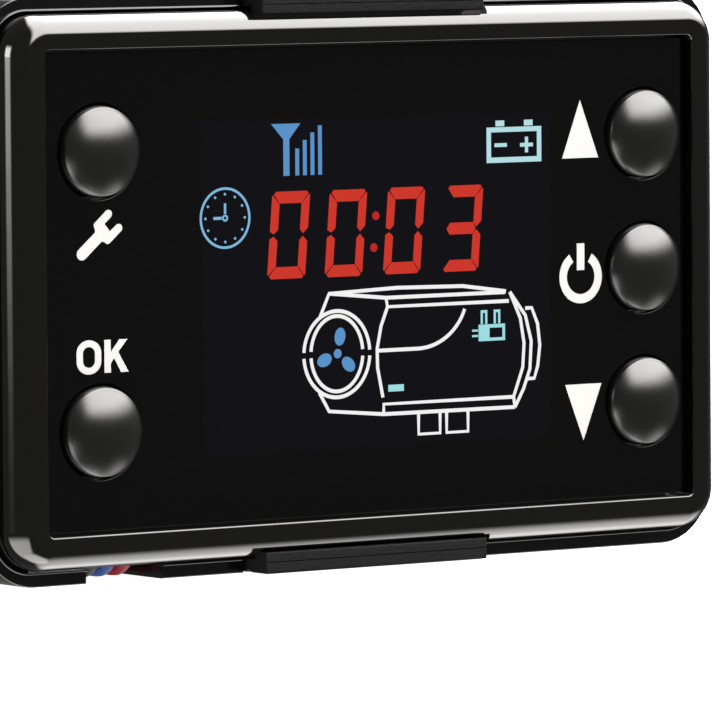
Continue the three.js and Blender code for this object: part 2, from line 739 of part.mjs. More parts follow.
// A small electrolytic can on its square foot.
function capacitor(x, z) {
  const [y0, y1] = [BOARD_Y - SEAT_GAP - CAPACITOR_H, BOARD_Y - SEAT_GAP];
  const foot = roundedRect(CAPACITOR_FOOT, CAPACITOR_FOOT, 0.8);
  return joined(rod(CAPACITOR_R, y0, y1, x, z), slab(foot, y1 - 0.7, y1, x, z));
}

// A three-way header on the board, open towards the lead.
function leadHeader() {
  const [y0, y1] = [CORE_Y - HEADER_REACH, BOARD_Y - SEAT_GAP];
  const [left, right] = [CORE_X - HEADER_W / 2, CORE_X + HEADER_W / 2];
  const well = block(
    [left + HEADER_WALL, y0 + HEADER_WALL, HEADER_Z - HEADER_H - OVERRUN],
    [right - HEADER_WALL, y1 - HEADER_WALL, HEADER_Z - 1],
  );
  const half = HEADER_PIN / 2;
  const pins = CORE_XS.map((x) =>
    block([x - half, CORE_Y - half, HEADER_Z - 2.4], [x + half, CORE_Y + half, HEADER_Z - 0.8]),
  );
  const shell = block([left, y0, HEADER_Z - HEADER_H], [right, y1, HEADER_Z]);
  return joined(cutBy(shell, well), ...pins);
}

// The lead's inner plug sits in the header, and the cores leave it downwards.
function leadSocket() {
  const wall = HEADER_WALL + SIDE_GAP / 2;
  const half = HEADER_W / 2 - wall;
  const [y0, y1] = [CORE_Y - HEADER_REACH + wall, BOARD_Y - SEAT_GAP - wall];
  const [z0, z1] = [CORE_TOP_Z + JOINT_GAP, HEADER_Z - 1 - SIDE_GAP];
  const body = block([CORE_X - half, y0, z0], [CORE_X + half, y1, z1]);
  const way = HEADER_PIN / 2 + SIDE_GAP / 2;
  const ways = CORE_XS.map((x) =>
    block([x - way, CORE_Y - way, HEADER_Z - 3], [x + way, CORE_Y + way, z1 + OVERRUN]),
  );
  return cutBy(body, ...ways);
}

const REGULATOR_X = REGULATOR_FROM_SIDE - HOLLOW_W / 2;
const [RECEIVER_X, RECEIVER_Z] = [
  HOLLOW_W / 2 - RECEIVER_FROM_SIDE,
  HOLLOW_H / 2 - RECEIVER_FROM_TOP,
];
const AERIAL_Z = HOLLOW_H / 2 - AERIAL_FROM_TOP;
const CAPACITOR_Z = HOLLOW_H / 2 - CAPACITOR_FROM_TOP;

add('main_board', mainBoard(), boardGreen());
add('microcontroller', chip(CHIP_X, CHIP_Z), chipBlack());
add('voltage_regulator', regulator(REGULATOR_X, REGULATOR_Z), chipBlack());
add('crystal', crystal(CHIP_X + CHIP_SIZE, CHIP_Z - CRYSTAL_W), tinned());
add('radio_receiver', receiver(RECEIVER_X, RECEIVER_Z), tinned());
add('radio_aerial', aerial(AERIAL_X, AERIAL_Z), finish(0xb87333, 0.35, 1));
add('buzzer', buzzer(LEFT_COLUMN_X, 0), chipBlack());
add('capacitor', capacitor(BESIDE_X - CAPACITOR_FOOT / 2, CAPACITOR_Z), tinned());
add('lead_header', leadHeader(), whitePlastic());
add('lead_socket', leadSocket(), whitePlastic());

// ---------------------------------------------------------------- rear cover and screws

// A tray with a lip inside the frame, bosses for the screws and a way out for the cores.
function rearCover() {
  const outside = joined(
    loft([
      { y: FRAME_DEPTH + SIDE_GAP, w: COVER_W, h: COVER_H, r: COVER_CORNER_R },
      { y: COVER_BACK_Y - 1, w: COVER_W, h: COVER_H, r: COVER_CORNER_R },
      { y: COVER_BACK_Y, w: COVER_W - 2, h: COVER_H - 2, r: COVER_CORNER_R - 1 },
    ]),
    slab(roundedRect(LIP_W, LIP_H, COVER_CORNER_R - 1), LIP_Y, FRAME_DEPTH + 2 * SIDE_GAP),
  );
  const hollow = slab(roundedRect(HOLLOW_W, HOLLOW_H, 1), LIP_Y - OVERRUN, COVER_INNER_Y);
  const bossStart = BOARD_BACK_Y + PARTS_ROOM / 2 + SIDE_GAP;
  const bosses = POSTS.map(({ x, z }) => rod(POST_R, bossStart, COVER_BACK_Y - 0.5, x, z));
  const holes = POSTS.flatMap(({ x, z }) => [
    rod(SCREW_R + SIDE_GAP, bossStart - OVERRUN, COVER_BACK_Y + OVERRUN, x, z),
    rod(SCREW_HEAD_R + SIDE_GAP, COVER_BACK_Y - SCREW_HEAD_H, COVER_BACK_Y + OVERRUN, x, z),
  ]);
  const halfWay = CORE_PITCH + CORE_R + SIDE_GAP;
  const wayOut = block(
    [CORE_X - halfWay, CORE_Y - CORE_R - SIDE_GAP / 2, -COVER_H / 2 - OVERRUN],
    [CORE_X + halfWay, CORE_Y + CORE_R + 2 * SIDE_GAP, -HOLLOW_H / 2 + OVERRUN],
  );
  return cutBy(joined(cutBy(outside, hollow), ...bosses), ...holes, wayOut);
}

// A pan-head screw with a cross in its head.
function coverScrew({ x, z }) {
  const headEnd = COVER_BACK_Y - SEAT_GAP;
  const headStart = headEnd - SCREW_HEAD_H + 3 * SEAT_GAP;
  const arm = 0.35;
  const reach = SCREW_HEAD_R * 0.6;
  const sunk = headEnd - SCREW_HEAD_H / 2;
  return cutBy(
    turned(
      [
        [0, headStart - SCREW_LENGTH],
        [SCREW_R, headStart - SCREW_LENGTH + SCREW_R],
        [SCREW_R, headStart],
        [SCREW_HEAD_R, headStart],
        [SCREW_HEAD_R, headEnd - 0.4],
        [SCREW_HEAD_R - 0.5, headEnd],
        [0, headEnd],
      ],
      x,
      z,
      SMALL_ROUND_STEPS,
    ),
    block([x - arm, sunk, z - reach], [x + arm, headEnd + OVERRUN, z + reach]),
    block([x - reach, sunk, z - arm], [x + reach, headEnd + OVERRUN, z + arm]),
  );
}

add('rear_cover', rearCover(), satinBlack());
const SCREW_NAMES = ['lower_left', 'upper_left', 'lower_right', 'upper_right'];
POSTS.forEach((post, i) => add(`screw_${SCREW_NAMES[i]}`, coverScrew(post), tinned()));

// ---------------------------------------------------------------- wall holder

// A slot for a wall screw, with a sunk seat for its head.
function wallSlot(side) {
  const head = WALL_SLOT_COUNTERBORE;
  const [w, l] = [WALL_SLOT_W, WALL_SLOT_L];
  const [y0, y1] = [PLATE_Y - OVERRUN, HOLDER_BACK_Y + OVERRUN];
  return joined(
    slab(roundedRect(l, w, w / 2 - 0.01), y0, y1, side * WALL_SLOT_X),
    slab(
      roundedRect(l + 2 * head, w + 2 * head, w / 2 + head - 0.01),
      y0,
      PLATE_Y + HOLDER_BACK / 2,
      side * WALL_SLOT_X,
    ),
  );
}

// Ribs on the inside of the walls and pads on the plate that steady the rear cover.
function guideRibs() {
  const sink = 0.4;
  const [y0, y1] = [HOLDER_LIP_Y + 3, PLATE_Y + sink];
  const [tall, wide] = [COVER_W / 2 + SIDE_GAP, COVER_H / 2 + SIDE_GAP];
  const half = GUIDE_RIB_W / 2;
  const padY = COVER_BACK_Y + SIDE_GAP;
  const across = SIDES.map((side) => {
    const reach = [side * tall, side * (TRAY_W / 2 + sink)].sort((a, b) => a - b);
    return [-GUIDE_RIB_Z, GUIDE_RIB_Z].map((z) => block([reach[0], y0, z - half], [reach[1], y1, z + half]));
  });
  const upright = SIDES.map((side) => {
    const reach = [side * wide, side * (TRAY_H / 2 + sink)].sort((a, b) => a - b);
    return [-GUIDE_RIB_X, GUIDE_RIB_X].map((x) => block([x - half, y0, reach[0]], [x + half, y1, reach[1]]));
  });
  const pads = SIDES.flatMap((sx) =>
    SIDES.map((sz) => rod(PAD_R, padY, PLATE_Y + sink, sx * PAD_X, sz * PAD_Z)),
  );
  return joined(...across.flat(), ...upright.flat(), ...pads);
}

// The part of a wall that the latch stands in, with a gap on both sides and at its root.
function latchBay(side) {
  const half = LATCH_W / 2 + LATCH_SIDE_GAP;
  const [low, high] = [TRAY_H / 2 - OVERRUN, HOLDER_H / 2 + OVERRUN];
  const reach = side > 0 ? [low, high] : [-high, -low];
  return block(
    [-half, HOLDER_LIP_Y - OVERRUN, reach[0]],
    [half, LATCH_ROOT_Y + JOINT_GAP, reach[1]],
  );
}

function wallHolder() {
  const chamfer = HOLDER_BACK_CHAMFER;
  const outside = loft([
    { y: HOLDER_LIP_Y, w: HOLDER_W, h: HOLDER_H, r: HOLDER_CORNER_R },
    { y: HOLDER_BACK_Y - chamfer, w: HOLDER_W, h: HOLDER_H, r: HOLDER_CORNER_R },
    {
      y: HOLDER_BACK_Y,
      w: HOLDER_W - 2 * chamfer,
      h: HOLDER_H - 2 * chamfer,
      r: HOLDER_CORNER_R - chamfer,
    },
  ]);
  const tray = slab(
    roundedRect(TRAY_W, TRAY_H, TRAY_CORNER_R),
    HOLDER_LIP_Y - OVERRUN,
    PLATE_Y,
  );
  const notchX = CORE_X + CABLE_NOTCH_ASIDE;
  const notch = block(
    [notchX - CABLE_NOTCH_W / 2, HOLDER_LIP_Y - OVERRUN, TABLE_Z - OVERRUN],
    [notchX + CABLE_NOTCH_W / 2, HOLDER_BACK_Y + OVERRUN, TABLE_Z + CABLE_NOTCH_H],
  );
  return cutBy(
    joined(cutBy(outside, tray), guideRibs()),
    notch,
    ...SIDES.map(latchBay),
    ...SIDES.map(wallSlot),
  );
}

add('wall_holder', wallHolder(), satinBlack());

// ---------------------------------------------------------------- latches

// A springy tongue of the holder's wall, with a hook over the frame and grip grooves.
function latch(side) {
  const [inside, outside] = [TRAY_H / 2, HOLDER_H / 2];
  const hookEnd = LATCH_FRONT_Y + HOOK_DEPTH;
  const profile = new THREE.Shape();
  profile.moveTo(LATCH_FRONT_Y + 0.5, outside);
  profile.lineTo(LATCH_FRONT_Y, outside - 0.5);
  profile.lineTo(LATCH_FRONT_Y, HOOK_Z + 0.4);
  profile.lineTo(LATCH_FRONT_Y + 0.4, HOOK_Z);
  profile.lineTo(hookEnd, HOOK_Z);
  profile.lineTo(hookEnd, inside);
  profile.lineTo(LATCH_ROOT_Y, inside);
  profile.lineTo(LATCH_ROOT_Y, outside);
  for (let i = 0; i < LATCH_RIBS; i++) {
    const y = LATCH_FRONT_Y + 2.2 + (LATCH_RIBS - i) * LATCH_RIB_PITCH;
    profile.lineTo(y, outside);
    profile.lineTo(y - LATCH_RIB_PITCH / 4, outside - LATCH_RIB_SINK);
    profile.lineTo(y - LATCH_RIB_PITCH / 2, outside);
  }
  profile.closePath();
  const form = new THREE.ExtrudeGeometry(profile, { depth: LATCH_W, bevelEnabled: false });
  const [along, up, across] = [
    new THREE.Vector3(0, 1, 0),
    new THREE.Vector3(0, 0, 1),
    new THREE.Vector3(1, 0, 0),
  ];
  form.applyMatrix4(new THREE.Matrix4().makeBasis(along, up, across));
  form.translate(-LATCH_W / 2, 0, 0);
  if (side < 0) form.rotateY(Math.PI).translate(0, 0, REST_CLEAR);
  return solid(form);
}

add('top_latch', latch(1), satinBlack());
add('bottom_latch', latch(-1), satinBlack());

// ---------------------------------------------------------------- lead

// A smooth line through points that are worked out below.
const lineThrough = (points) =>
  new THREE.CatmullRomCurve3(points.map((p) => new THREE.Vector3(...p)), false, 'centripetal');

const eased = (t) => t * t * (3 - 2 * t);

// A core comes down out of the cover, bends back along the table and rises to the boot.
function coreLine(x) {
  const restZ = TABLE_Z + CORE_REST_Z;
  const bendZ = restZ + CORE_BEND_R;
  const points = [
    [x, CORE_Y, CORE_TOP_Z],
    [x, CORE_Y, (CORE_TOP_Z + bendZ) / 2],
  ];
  const bendSteps = 6;
  for (let i = 0; i <= bendSteps; i++) {
    const t = (i / bendSteps) * (Math.PI / 2);
    points.push([
      x,
      CORE_Y + CORE_BEND_R * (1 - Math.cos(t)),
      bendZ - CORE_BEND_R * Math.sin(t),
    ]);
  }
  const [y0, y1] = [CORE_Y + CORE_BEND_R, BOOT_START_Y - JOINT_GAP];
  const runSteps = 7;
  for (let i = 1; i <= runSteps; i++) {
    const t = i / runSteps;
    const rise = eased(Math.min(1, Math.max(0, (t - 0.35) / 0.55)));
    points.push([x, y0 + (y1 - y0) * t, restZ + (CABLE_Z - CORE_REST_Z) * rise]);
  }
  return lineThrough(points);
}

// The boot gathers the three cores, side by side, into the round cable.
function leadBoot() {
  const [y0, y1] = [BOOT_START_Y, BOOT_START_Y + BOOT_LENGTH];
  const flatW = 2 * (CORE_PITCH + CORE_R + 0.5);
  const flatH = 2 * (CORE_R + 0.5);
  const round = 2 * BOOT_R;
  const corner = (h) => h / 2 - 0.01;
  const form = loft([
    { y: y0, w: flatW, h: flatH, r: corner(flatH) },
    { y: y0 + BOOT_NECK_START, w: flatW, h: flatH * 1.15, r: corner(flatH * 1.15) },
    { y: y0 + BOOT_NECK_END, w: round, h: round, r: corner(round) },
    { y: y1, w: round - 0.4, h: round - 0.4, r: corner(round - 0.4) },
  ]);
  return form.translate([CORE_X, 0, CABLE_PLANE_Z]);
}

// The cable goes on from the boot, turns right and joins the coil, which winds in by one
// turn, climbs to the upper layer in half a turn, winds out again and leaves for the plug.
function cablePoints() {
  const topY = COIL_Y + COIL_R;
  const start = [CORE_X, BOOT_START_Y + BOOT_LENGTH + JOINT_GAP];
  const bendStart = topY - LEAD_IN_BEND_R;
  const points = [
    [...start, CABLE_PLANE_Z],
    [start[0], (start[1] + bendStart) / 2, CABLE_PLANE_Z],
  ];
  const bendSteps = 6;
  for (let i = 0; i <= bendSteps; i++) {
    const t = (i / bendSteps) * (Math.PI / 2);
    points.push([
      start[0] + LEAD_IN_BEND_R * (1 - Math.cos(t)),
      bendStart + LEAD_IN_BEND_R * Math.sin(t),
      CABLE_PLANE_Z,
    ]);
  }
  const bendEndX = start[0] + LEAD_IN_BEND_R;
  points.push([(bendEndX + COIL_X) / 2, topY, CABLE_PLANE_Z]);
  const steps = 24 * COIL_TURNS;
  for (let i = 0; i <= steps; i++) {
    const turns = (i / steps) * COIL_TURNS;
    const inward = Math.min(turns, COIL_TURNS - turns);
    const r = COIL_R - COIL_PITCH * inward;
    const climb = eased(Math.min(1, Math.max(0, turns - COIL_TURNS / 2 + 0.25) * 2));
    const turn = 2 * Math.PI * turns;
    points.push([
      COIL_X + r * Math.sin(turn),
      COIL_Y + r * Math.cos(turn),
      CABLE_PLANE_Z + COIL_PITCH * climb,
    ]);
  }
  const tailSteps = 10;
  const upperZ = CABLE_PLANE_Z + COIL_PITCH;
  const plugZ = TABLE_Z + PLUG_H / 2;
  for (let i = 1; i <= tailSteps; i++) {
    const t = i / tailSteps;
    const drop = eased(Math.min(1, Math.max(0, (t - 0.4) / 0.4)));
    points.push([COIL_X + TAIL_LENGTH * t, topY, upperZ + (plugZ - upperZ) * drop]);
  }
  return points;
}

// The least gap that the cable keeps to itself, measured on points along its middle.
function leastGap(curve, r) {
  const points = curve.getSpacedPoints(600);
  const apart = Math.ceil((points.length * 4 * Math.PI * r) / curve.getLength());
  let least = Infinity;
  for (let i = 0; i < points.length; i++) {
    for (let j = i + apart; j < points.length; j++) {
      least = Math.min(least, points[i].distanceTo(points[j]));
    }
  }
  return least - 2 * r;
}

// The three-way plug: ways for the terminals, a snap ramp and grip ribs.
function leadPlug() {
  const x0 = COIL_X + TAIL_LENGTH + JOINT_GAP;
  const x1 = x0 + PLUG_LENGTH;
  const y = COIL_Y + COIL_R;
  const top = TABLE_Z + PLUG_H;
  const outline = new THREE.Shape();
  const [w, ramp] = [PLUG_LENGTH, 2.2];
  outline.moveTo(0, 1.5);
  outline.lineTo(1.5, 0);
  outline.lineTo(w, 0);
  outline.lineTo(w, PLUG_H - ramp);
  outline.lineTo(w * 0.62, PLUG_H - ramp);
  outline.lineTo(w * 0.5, PLUG_H);
  outline.lineTo(w * 0.45, PLUG_H);
  outline.lineTo(w * 0.45, PLUG_H - ramp);
  outline.lineTo(1.5, PLUG_H - ramp);
  outline.lineTo(0, PLUG_H - ramp - 1.5);
  outline.closePath();
  const ridge = new THREE.ExtrudeGeometry(outline, { depth: PLUG_W * 0.4, bevelEnabled: false });
  ridge.rotateX(Math.PI / 2).translate(x0, y + PLUG_W * 0.2, TABLE_Z);
  const body = block([x0 + 1, y - PLUG_W / 2, TABLE_Z], [x1, y + PLUG_W / 2, top - ramp - 0.6]);
  const ribs = SIDES.flatMap((side) =>
    [0, 1, 2].map((i) => {
      const reach = [side * (PLUG_W / 2 - 0.5), side * (PLUG_W / 2 + 0.6)].sort((a, b) => a - b);
      const at = x0 + 3 + 2 * i;
      return block([at, y + reach[0], TABLE_Z + 1], [at + 1, y + reach[1], top - ramp - 1.6]);
    }),
  );
  const ways = [-1, 0, 1].map((i) => {
    const [wy, wz] = [y + i * PLUG_WAY_PITCH, TABLE_Z + (PLUG_H - ramp) / 2];
    return block(
      [x1 - PLUG_WAY_DEPTH, wy - PLUG_WAY / 2, wz - PLUG_WAY / 2],
      [x1 + OVERRUN, wy + PLUG_WAY / 2, wz + PLUG_WAY / 2],
    );
  });
  return cutBy(joined(solid(ridge), body, ...ribs), ...ways);
}

// A flat plastic tie round both layers of the coil, at the side next to the holder.
function coilTie() {
  const r = COIL_R - (COIL_PITCH * COIL_TURNS) / 4;
  const y = COIL_Y - r;
  const wide = 2 * (CABLE_R + SIDE_GAP / 2);
  const tall = 2 * (CABLE_R + SIDE_GAP / 2) + COIL_PITCH;
  const z = CABLE_PLANE_Z + COIL_PITCH / 2;
  const band = roundedRect(wide + 2 * TIE_T, tall + 2 * TIE_T, CABLE_R + TIE_T);
  band.holes.push(roundedRect(wide, tall, CABLE_R));
  const form = new THREE.ExtrudeGeometry(band, { depth: TIE_W, bevelEnabled: false });
  form.rotateX(Math.PI / 2).rotateZ(Math.PI / 2).translate(COIL_X - TIE_W / 2, y, z);
  const tail = z + tall / 2 + TIE_T;
  const twist = block(
    [COIL_X - TIE_W / 3, y - 1, tail - TIE_T / 2],
    [COIL_X + TIE_W / 3, y + 1, tail + 2],
  );
  return joined(solid(form), twist);
}

CORE_XS.forEach((x, i) => {
  const [name, color] = [['black', 0x1a1a1c], ['blue', 0x2f6fb5], ['red', 0xc22a3a]][i];
  const line = coreLine(x);
  console.log(`${name}_core length ${line.getLength().toFixed(1)} mm`);
  add(`${name}_core`, tube(line, CORE_R, 8, CORE_STEPS), finish(color, 0.45));
});
add('lead_boot', leadBoot(), satinBlack());
const cableLine = lineThrough(cablePoints());
console.log(`lead_coil length ${cableLine.getLength().toFixed(1)} mm`);
console.log(`lead_coil least gap to itself ${leastGap(cableLine, CABLE_R).toFixed(2)} mm`);
add('lead_coil', tube(cableLine, CABLE_R, 8, CABLE_STEPS), satinBlack());
add('coil_tie', coilTie(), satinBlack());
add('lead_plug', leadPlug(), finish(0x26272a, 0.45));

export default controller;
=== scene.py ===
"""Five-button display panel of a cab air heater, snapped into its wall holder.

The panel stands on the holder's lower edge, with its short lead coiled behind it.
"""

import json
import math

import bmesh
import bpy
from mathutils import Matrix, Vector

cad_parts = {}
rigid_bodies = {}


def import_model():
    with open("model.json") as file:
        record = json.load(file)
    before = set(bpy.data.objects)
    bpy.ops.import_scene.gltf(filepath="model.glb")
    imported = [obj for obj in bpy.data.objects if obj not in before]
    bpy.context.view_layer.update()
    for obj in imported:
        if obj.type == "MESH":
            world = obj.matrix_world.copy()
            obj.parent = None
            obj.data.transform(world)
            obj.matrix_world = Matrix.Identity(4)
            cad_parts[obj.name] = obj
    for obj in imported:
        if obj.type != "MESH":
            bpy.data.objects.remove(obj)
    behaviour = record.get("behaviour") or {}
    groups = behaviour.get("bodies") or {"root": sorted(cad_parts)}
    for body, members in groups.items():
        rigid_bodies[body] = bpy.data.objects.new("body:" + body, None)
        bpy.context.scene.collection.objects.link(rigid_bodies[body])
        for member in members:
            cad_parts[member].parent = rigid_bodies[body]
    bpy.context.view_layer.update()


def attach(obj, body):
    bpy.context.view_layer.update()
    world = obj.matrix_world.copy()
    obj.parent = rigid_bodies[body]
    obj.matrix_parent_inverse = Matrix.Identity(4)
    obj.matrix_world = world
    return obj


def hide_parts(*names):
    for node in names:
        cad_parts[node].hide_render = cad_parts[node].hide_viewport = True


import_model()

# ------------------------------------------------------------------ camera
# A long lens from the panel's left front, a little above it. Every measure below is in
# millimetres: right of the opening's middle, back from the rim's face, up from the middle.

FACE_IN_FRAME, MIDDLE_IN_FRAME = -0.0083, 0.0318


def at(x, y, z):
    """The place in the scene, in metres, of a point on the panel in millimetres."""
    return Vector((x / 1000, y / 1000 + FACE_IN_FRAME, z / 1000 + MIDDLE_IN_FRAME))


YAW, RISE, ROLL = (math.radians(a) for a in (35.6916, 3.69824, -0.390675))
DISTANCE = 875.912
AIMED_AT = (-2.73655, 0, -8.73002)
FOCUS_IN_PIXELS, PICTURE_IN_PIXELS = 7969.44, 720
SENSOR = 36

ahead = Vector(
    (math.sin(YAW) * math.cos(RISE), math.cos(YAW) * math.cos(RISE), -math.sin(RISE))
)
level = Vector((math.cos(YAW), -math.sin(YAW), 0))
upright = level.cross(ahead)
right = math.cos(ROLL) * level + math.sin(ROLL) * upright
up = math.cos(ROLL) * upright - math.sin(ROLL) * level
bpy.ops.object.select_all(action="DESELECT")
bpy.ops.object.camera_add()
camera = bpy.context.object
camera.data.sensor_width = SENSOR
camera.data.lens = FOCUS_IN_PIXELS * SENSOR / PICTURE_IN_PIXELS
camera.data.clip_start = 0.05
camera.data.clip_end = 50
camera.matrix_world = (
    Matrix.Translation(at(*AIMED_AT) - ahead * DISTANCE / 1000)
    @ Matrix((right, up, -ahead)).transposed().to_4x4()
)
bpy.context.scene.camera = camera
bpy.context.scene.view_settings.view_transform = "Standard"

# ------------------------------------------------------------------ cores of the lead
# Three single cores of tinned copper in smooth coloured PVC. They come down out of the cover,
# lean aside in the holder's notch, and run back under it side by side into the boot.


class Value:
    """A value in a shader, on which sums can be written."""

    def __init__(self, tree, socket):
        self.tree = tree
        self.socket = socket

    def sum(self, operation, *others):
        """What one Math node makes of this value and the others."""
        node = self.tree.nodes.new("ShaderNodeMath")
        node.operation = operation
        for place, part in zip(node.inputs, (self, *others)):
            if isinstance(part, Value):
                self.tree.links.new(part.socket, place)
            else:
                place.default_value = part
        return Value(self.tree, node.outputs[0])

    def __add__(self, other):
        return self.sum("ADD", other)

    def __mul__(self, other):
        return self.sum("MULTIPLY", other)

    def __sub__(self, other):
        return self.sum("SUBTRACT", other)

    def __rsub__(self, other):
        return self * -1 + other

    __radd__ = __add__
    __rmul__ = __mul__

    def ramp(self, start, end):
        """0 up to start, 1 from end on, and an eased rise between them."""
        node = self.tree.nodes.new("ShaderNodeMapRange")
        node.interpolation_type = "SMOOTHSTEP"
        self.tree.links.new(self.socket, node.inputs["Value"])
        node.inputs["From Min"].default_value = start
        node.inputs["From Max"].default_value = end
        return Value(self.tree, node.outputs["Result"])


class Finish:
    """A material: constants go straight onto its shader, and patterns are fed to it."""

    def __init__(self, name, **constants):
        self.material = bpy.data.materials.new(name)
        self.material.use_nodes = True
        self.tree = self.material.node_tree
        self.shader = self.tree.nodes["Principled BSDF"]
        for socket, value in constants.items():
            self.shader.inputs[socket.replace("_", " ")].default_value = value

    def node(self, kind, settings=None, output=0, **inputs):
        """Any node: its settings come first, then what its sockets take."""
        node = self.tree.nodes.new("ShaderNode" + kind)
        for name, value in (settings or {}).items():
            setattr(node, name, value)
        for name, part in inputs.items():
            place = node.inputs[int(name[1:])] if name[1:].isdigit() else node.inputs[name]
            if isinstance(part, Value):
                self.tree.links.new(part.socket, place)
            else:
                place.default_value = part
        return Value(self.tree, node.outputs[output])

    def feed(self, socket, value):
        """Leads a value or a pattern into the shader."""
        self.tree.links.new(value.socket, self.shader.inputs[socket])

    def mix(self, share, first, second):
        """The first colour where share is 0, and the second where it is 1."""
        return self.node(
            "Mix", {"data_type": "RGBA"}, output=2, _0=share, _6=first, _7=second
        )

    def here(self):
        return self.node("TexCoord", output="Object")

    def noise(self, scale, detail=2.0, rough=0.5):
        return self.node(
            "TexNoise", Vector=self.here(), Scale=scale, Detail=detail, Roughness=rough
        )

    def bump(self, height, distance):
        self.feed(
            "Normal", self.node("Bump", Height=height, Distance=distance, Strength=1.0)
        )

    def grain(self, scale, detail, roughness, spread, relief=0.0, gain=0.5):
        """A fine grain in the roughness and, where it has a relief in metres, in the bump."""
        fine = self.noise(scale, detail, gain)
        self.feed("Roughness", fine * spread + roughness)
        if relief:
            self.bump(fine, relief)
        return self.material


def light_of(*rgb):
    """A screen colour, 0 to 255, as light."""
    return tuple(
        c / 255 / 12.92 if c <= 10 else ((c / 255 + 0.055) / 1.055) ** 2.4 for c in rgb
    )


def insulation(name, rgb):
    """Smooth PVC of one colour, a little rubbed."""
    finish = Finish(name, Base_Color=(*light_of(*rgb), 1), Specular_IOR_Level=0.1)
    return finish.grain(900, 3, 0.42, 0.14, 0.00002)


CORE_ACROSS = 1.6
CORE_PITCH = 2.15
CORE_X = -31.805
CORE_Y = 7.6
CORE_TOP = -25.3
TABLE = -31.8
CORE_REST = 0.85
CORE_BEND = 3.3
CORE_ASIDE = 1.3
CORE_RISE_FROM, CORE_RISE_OVER = 0.35, 0.55
CABLE_HEIGHT = 2.7
BOOT_START = 34
GAP = 0.3


def eased(t):
    """0 up to 0, 1 from 1 on, and an eased rise between them."""
    t = min(1, max(0, t))
    return t * t * (3 - 2 * t)


QUARTER = [i / 8 * math.pi / 2 for i in range(9)]


def core_points(x):
    """Down out of the plug, aside in the notch, and back in line with the boot."""
    rest = TABLE + CORE_REST
    bend_z = rest + CORE_BEND
    points = [
        (x, CORE_Y, CORE_TOP),
        (x + 0.2 * CORE_ASIDE, CORE_Y, (CORE_TOP + bend_z) / 2),
    ]
    for i, turn in enumerate(QUARTER):
        points.append(
            (
                x + CORE_ASIDE * (0.5 + 0.5 * eased(i / 4)),
                CORE_Y + CORE_BEND * (1 - math.cos(turn)),
                bend_z - CORE_BEND * math.sin(turn),
            )
        )
    start, end = CORE_Y + CORE_BEND, BOOT_START - GAP
    for i in range(1, 15):
        t = i / 14
        rise = (CABLE_HEIGHT - CORE_REST) * eased((t - CORE_RISE_FROM) / CORE_RISE_OVER)
        aside = CORE_ASIDE * (1 - eased(2 * t))
        points.append((x + aside, start + (end - start) * t, rest + rise))
    return points


def lead_line(name, points, across, material):
    """A round line through points, as one smooth spline with flat ends."""
    line = bpy.data.curves.new(name, "CURVE")
    line.dimensions = "3D"
    line.bevel_depth = across / 2000
    line.bevel_resolution = 6
    line.use_fill_caps = True
    line.resolution_u = 6
    spline = line.splines.new("BEZIER")
    spline.bezier_points.add(len(points) - 1)
    for knot, point in zip(spline.bezier_points, points):
        knot.co = at(*point)
        knot.handle_left_type = knot.handle_right_type = "AUTO"
    line.materials.append(material)
    piece = bpy.data.objects.new(name, line)
    bpy.context.collection.objects.link(piece)
    return piece


cores = []
for i, (colour, rgb) in enumerate(
    (("black", (16, 16, 17)), ("blue", (23, 43, 84)), ("red", (80, 8, 19)))
):
    core = lead_line(
        f"{colour}_core_insulation",
        core_points(CORE_X + (i - 1) * CORE_PITCH),
        CORE_ACROSS,
        insulation(f"{colour}_pvc", rgb),
    )
    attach(core, "panel_in_holder")
    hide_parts(f"{colour}_core")
    cores.append(core)

# ------------------------------------------------------------------ sheathed lead
# The round sheathed cable from the boot to the plug, coiled for storage in two layers behind
# the panel. Its sheath is soft black PVC with a fine matt grain.

COIL_X, COIL_Y, COIL_R = 1, 44.9, 23.3
COIL_TURNS = 2
COIL_PITCH = 4.7
LEAD_IN_BEND = 18
TAIL_LENGTH = 23
BOOT_LENGTH = 10
CABLE_ACROSS = 4.2
PLUG_H = 10


def cable_points():
    """Back from the boot, twice round the coil in two layers, and out to the plug."""
    top = COIL_Y + COIL_R
    plane = TABLE + CABLE_HEIGHT
    start = BOOT_START + BOOT_LENGTH + GAP
    bend = top - LEAD_IN_BEND
    points = [(CORE_X, start, plane), (CORE_X, (start + bend) / 2, plane)]
    for turn in QUARTER:
        points.append(
            (
                CORE_X + LEAD_IN_BEND * (1 - math.cos(turn)),
                bend + LEAD_IN_BEND * math.sin(turn),
                plane,
            )
        )
    points.append(((CORE_X + LEAD_IN_BEND + COIL_X) / 2, top, plane))
    steps = 24 * COIL_TURNS
    for i in range(steps + 1):
        turns = i / steps * COIL_TURNS
        inward = min(turns, COIL_TURNS - turns)
        r = COIL_R - COIL_PITCH * inward
        climb = eased((turns - COIL_TURNS / 2 + 0.25) * 2)
        turn = 2 * math.pi * turns
        points.append(
            (
                COIL_X + r * math.sin(turn),
                COIL_Y + r * math.cos(turn),
                plane + COIL_PITCH * climb,
            )
        )
    upper, plug = plane + COIL_PITCH, TABLE + PLUG_H / 2
    for i in range(1, 11):
        t = i / 10
        points.append(
            (COIL_X + TAIL_LENGTH * t, top, upper + (plug - upper) * eased((t - 0.4) / 0.4))
        )
    return points


sheath = Finish("cable_sheath", Base_Color=(0.016, 0.016, 0.017, 1))
sheath.grain(1400, 4, 0.42, 0.16, 0.00004, gain=0.6)
cable = lead_line("coiled_lead", cable_points(), CABLE_ACROSS, sheath.material)
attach(cable, "panel_in_holder")
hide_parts("lead_coil")

# ------------------------------------------------------------------ boot of the lead
# A moulded strain relief of soft PVC: flat where the three cores go in, round where the
# sheathed cable comes out, with two grooves cut round its neck so that it bends.


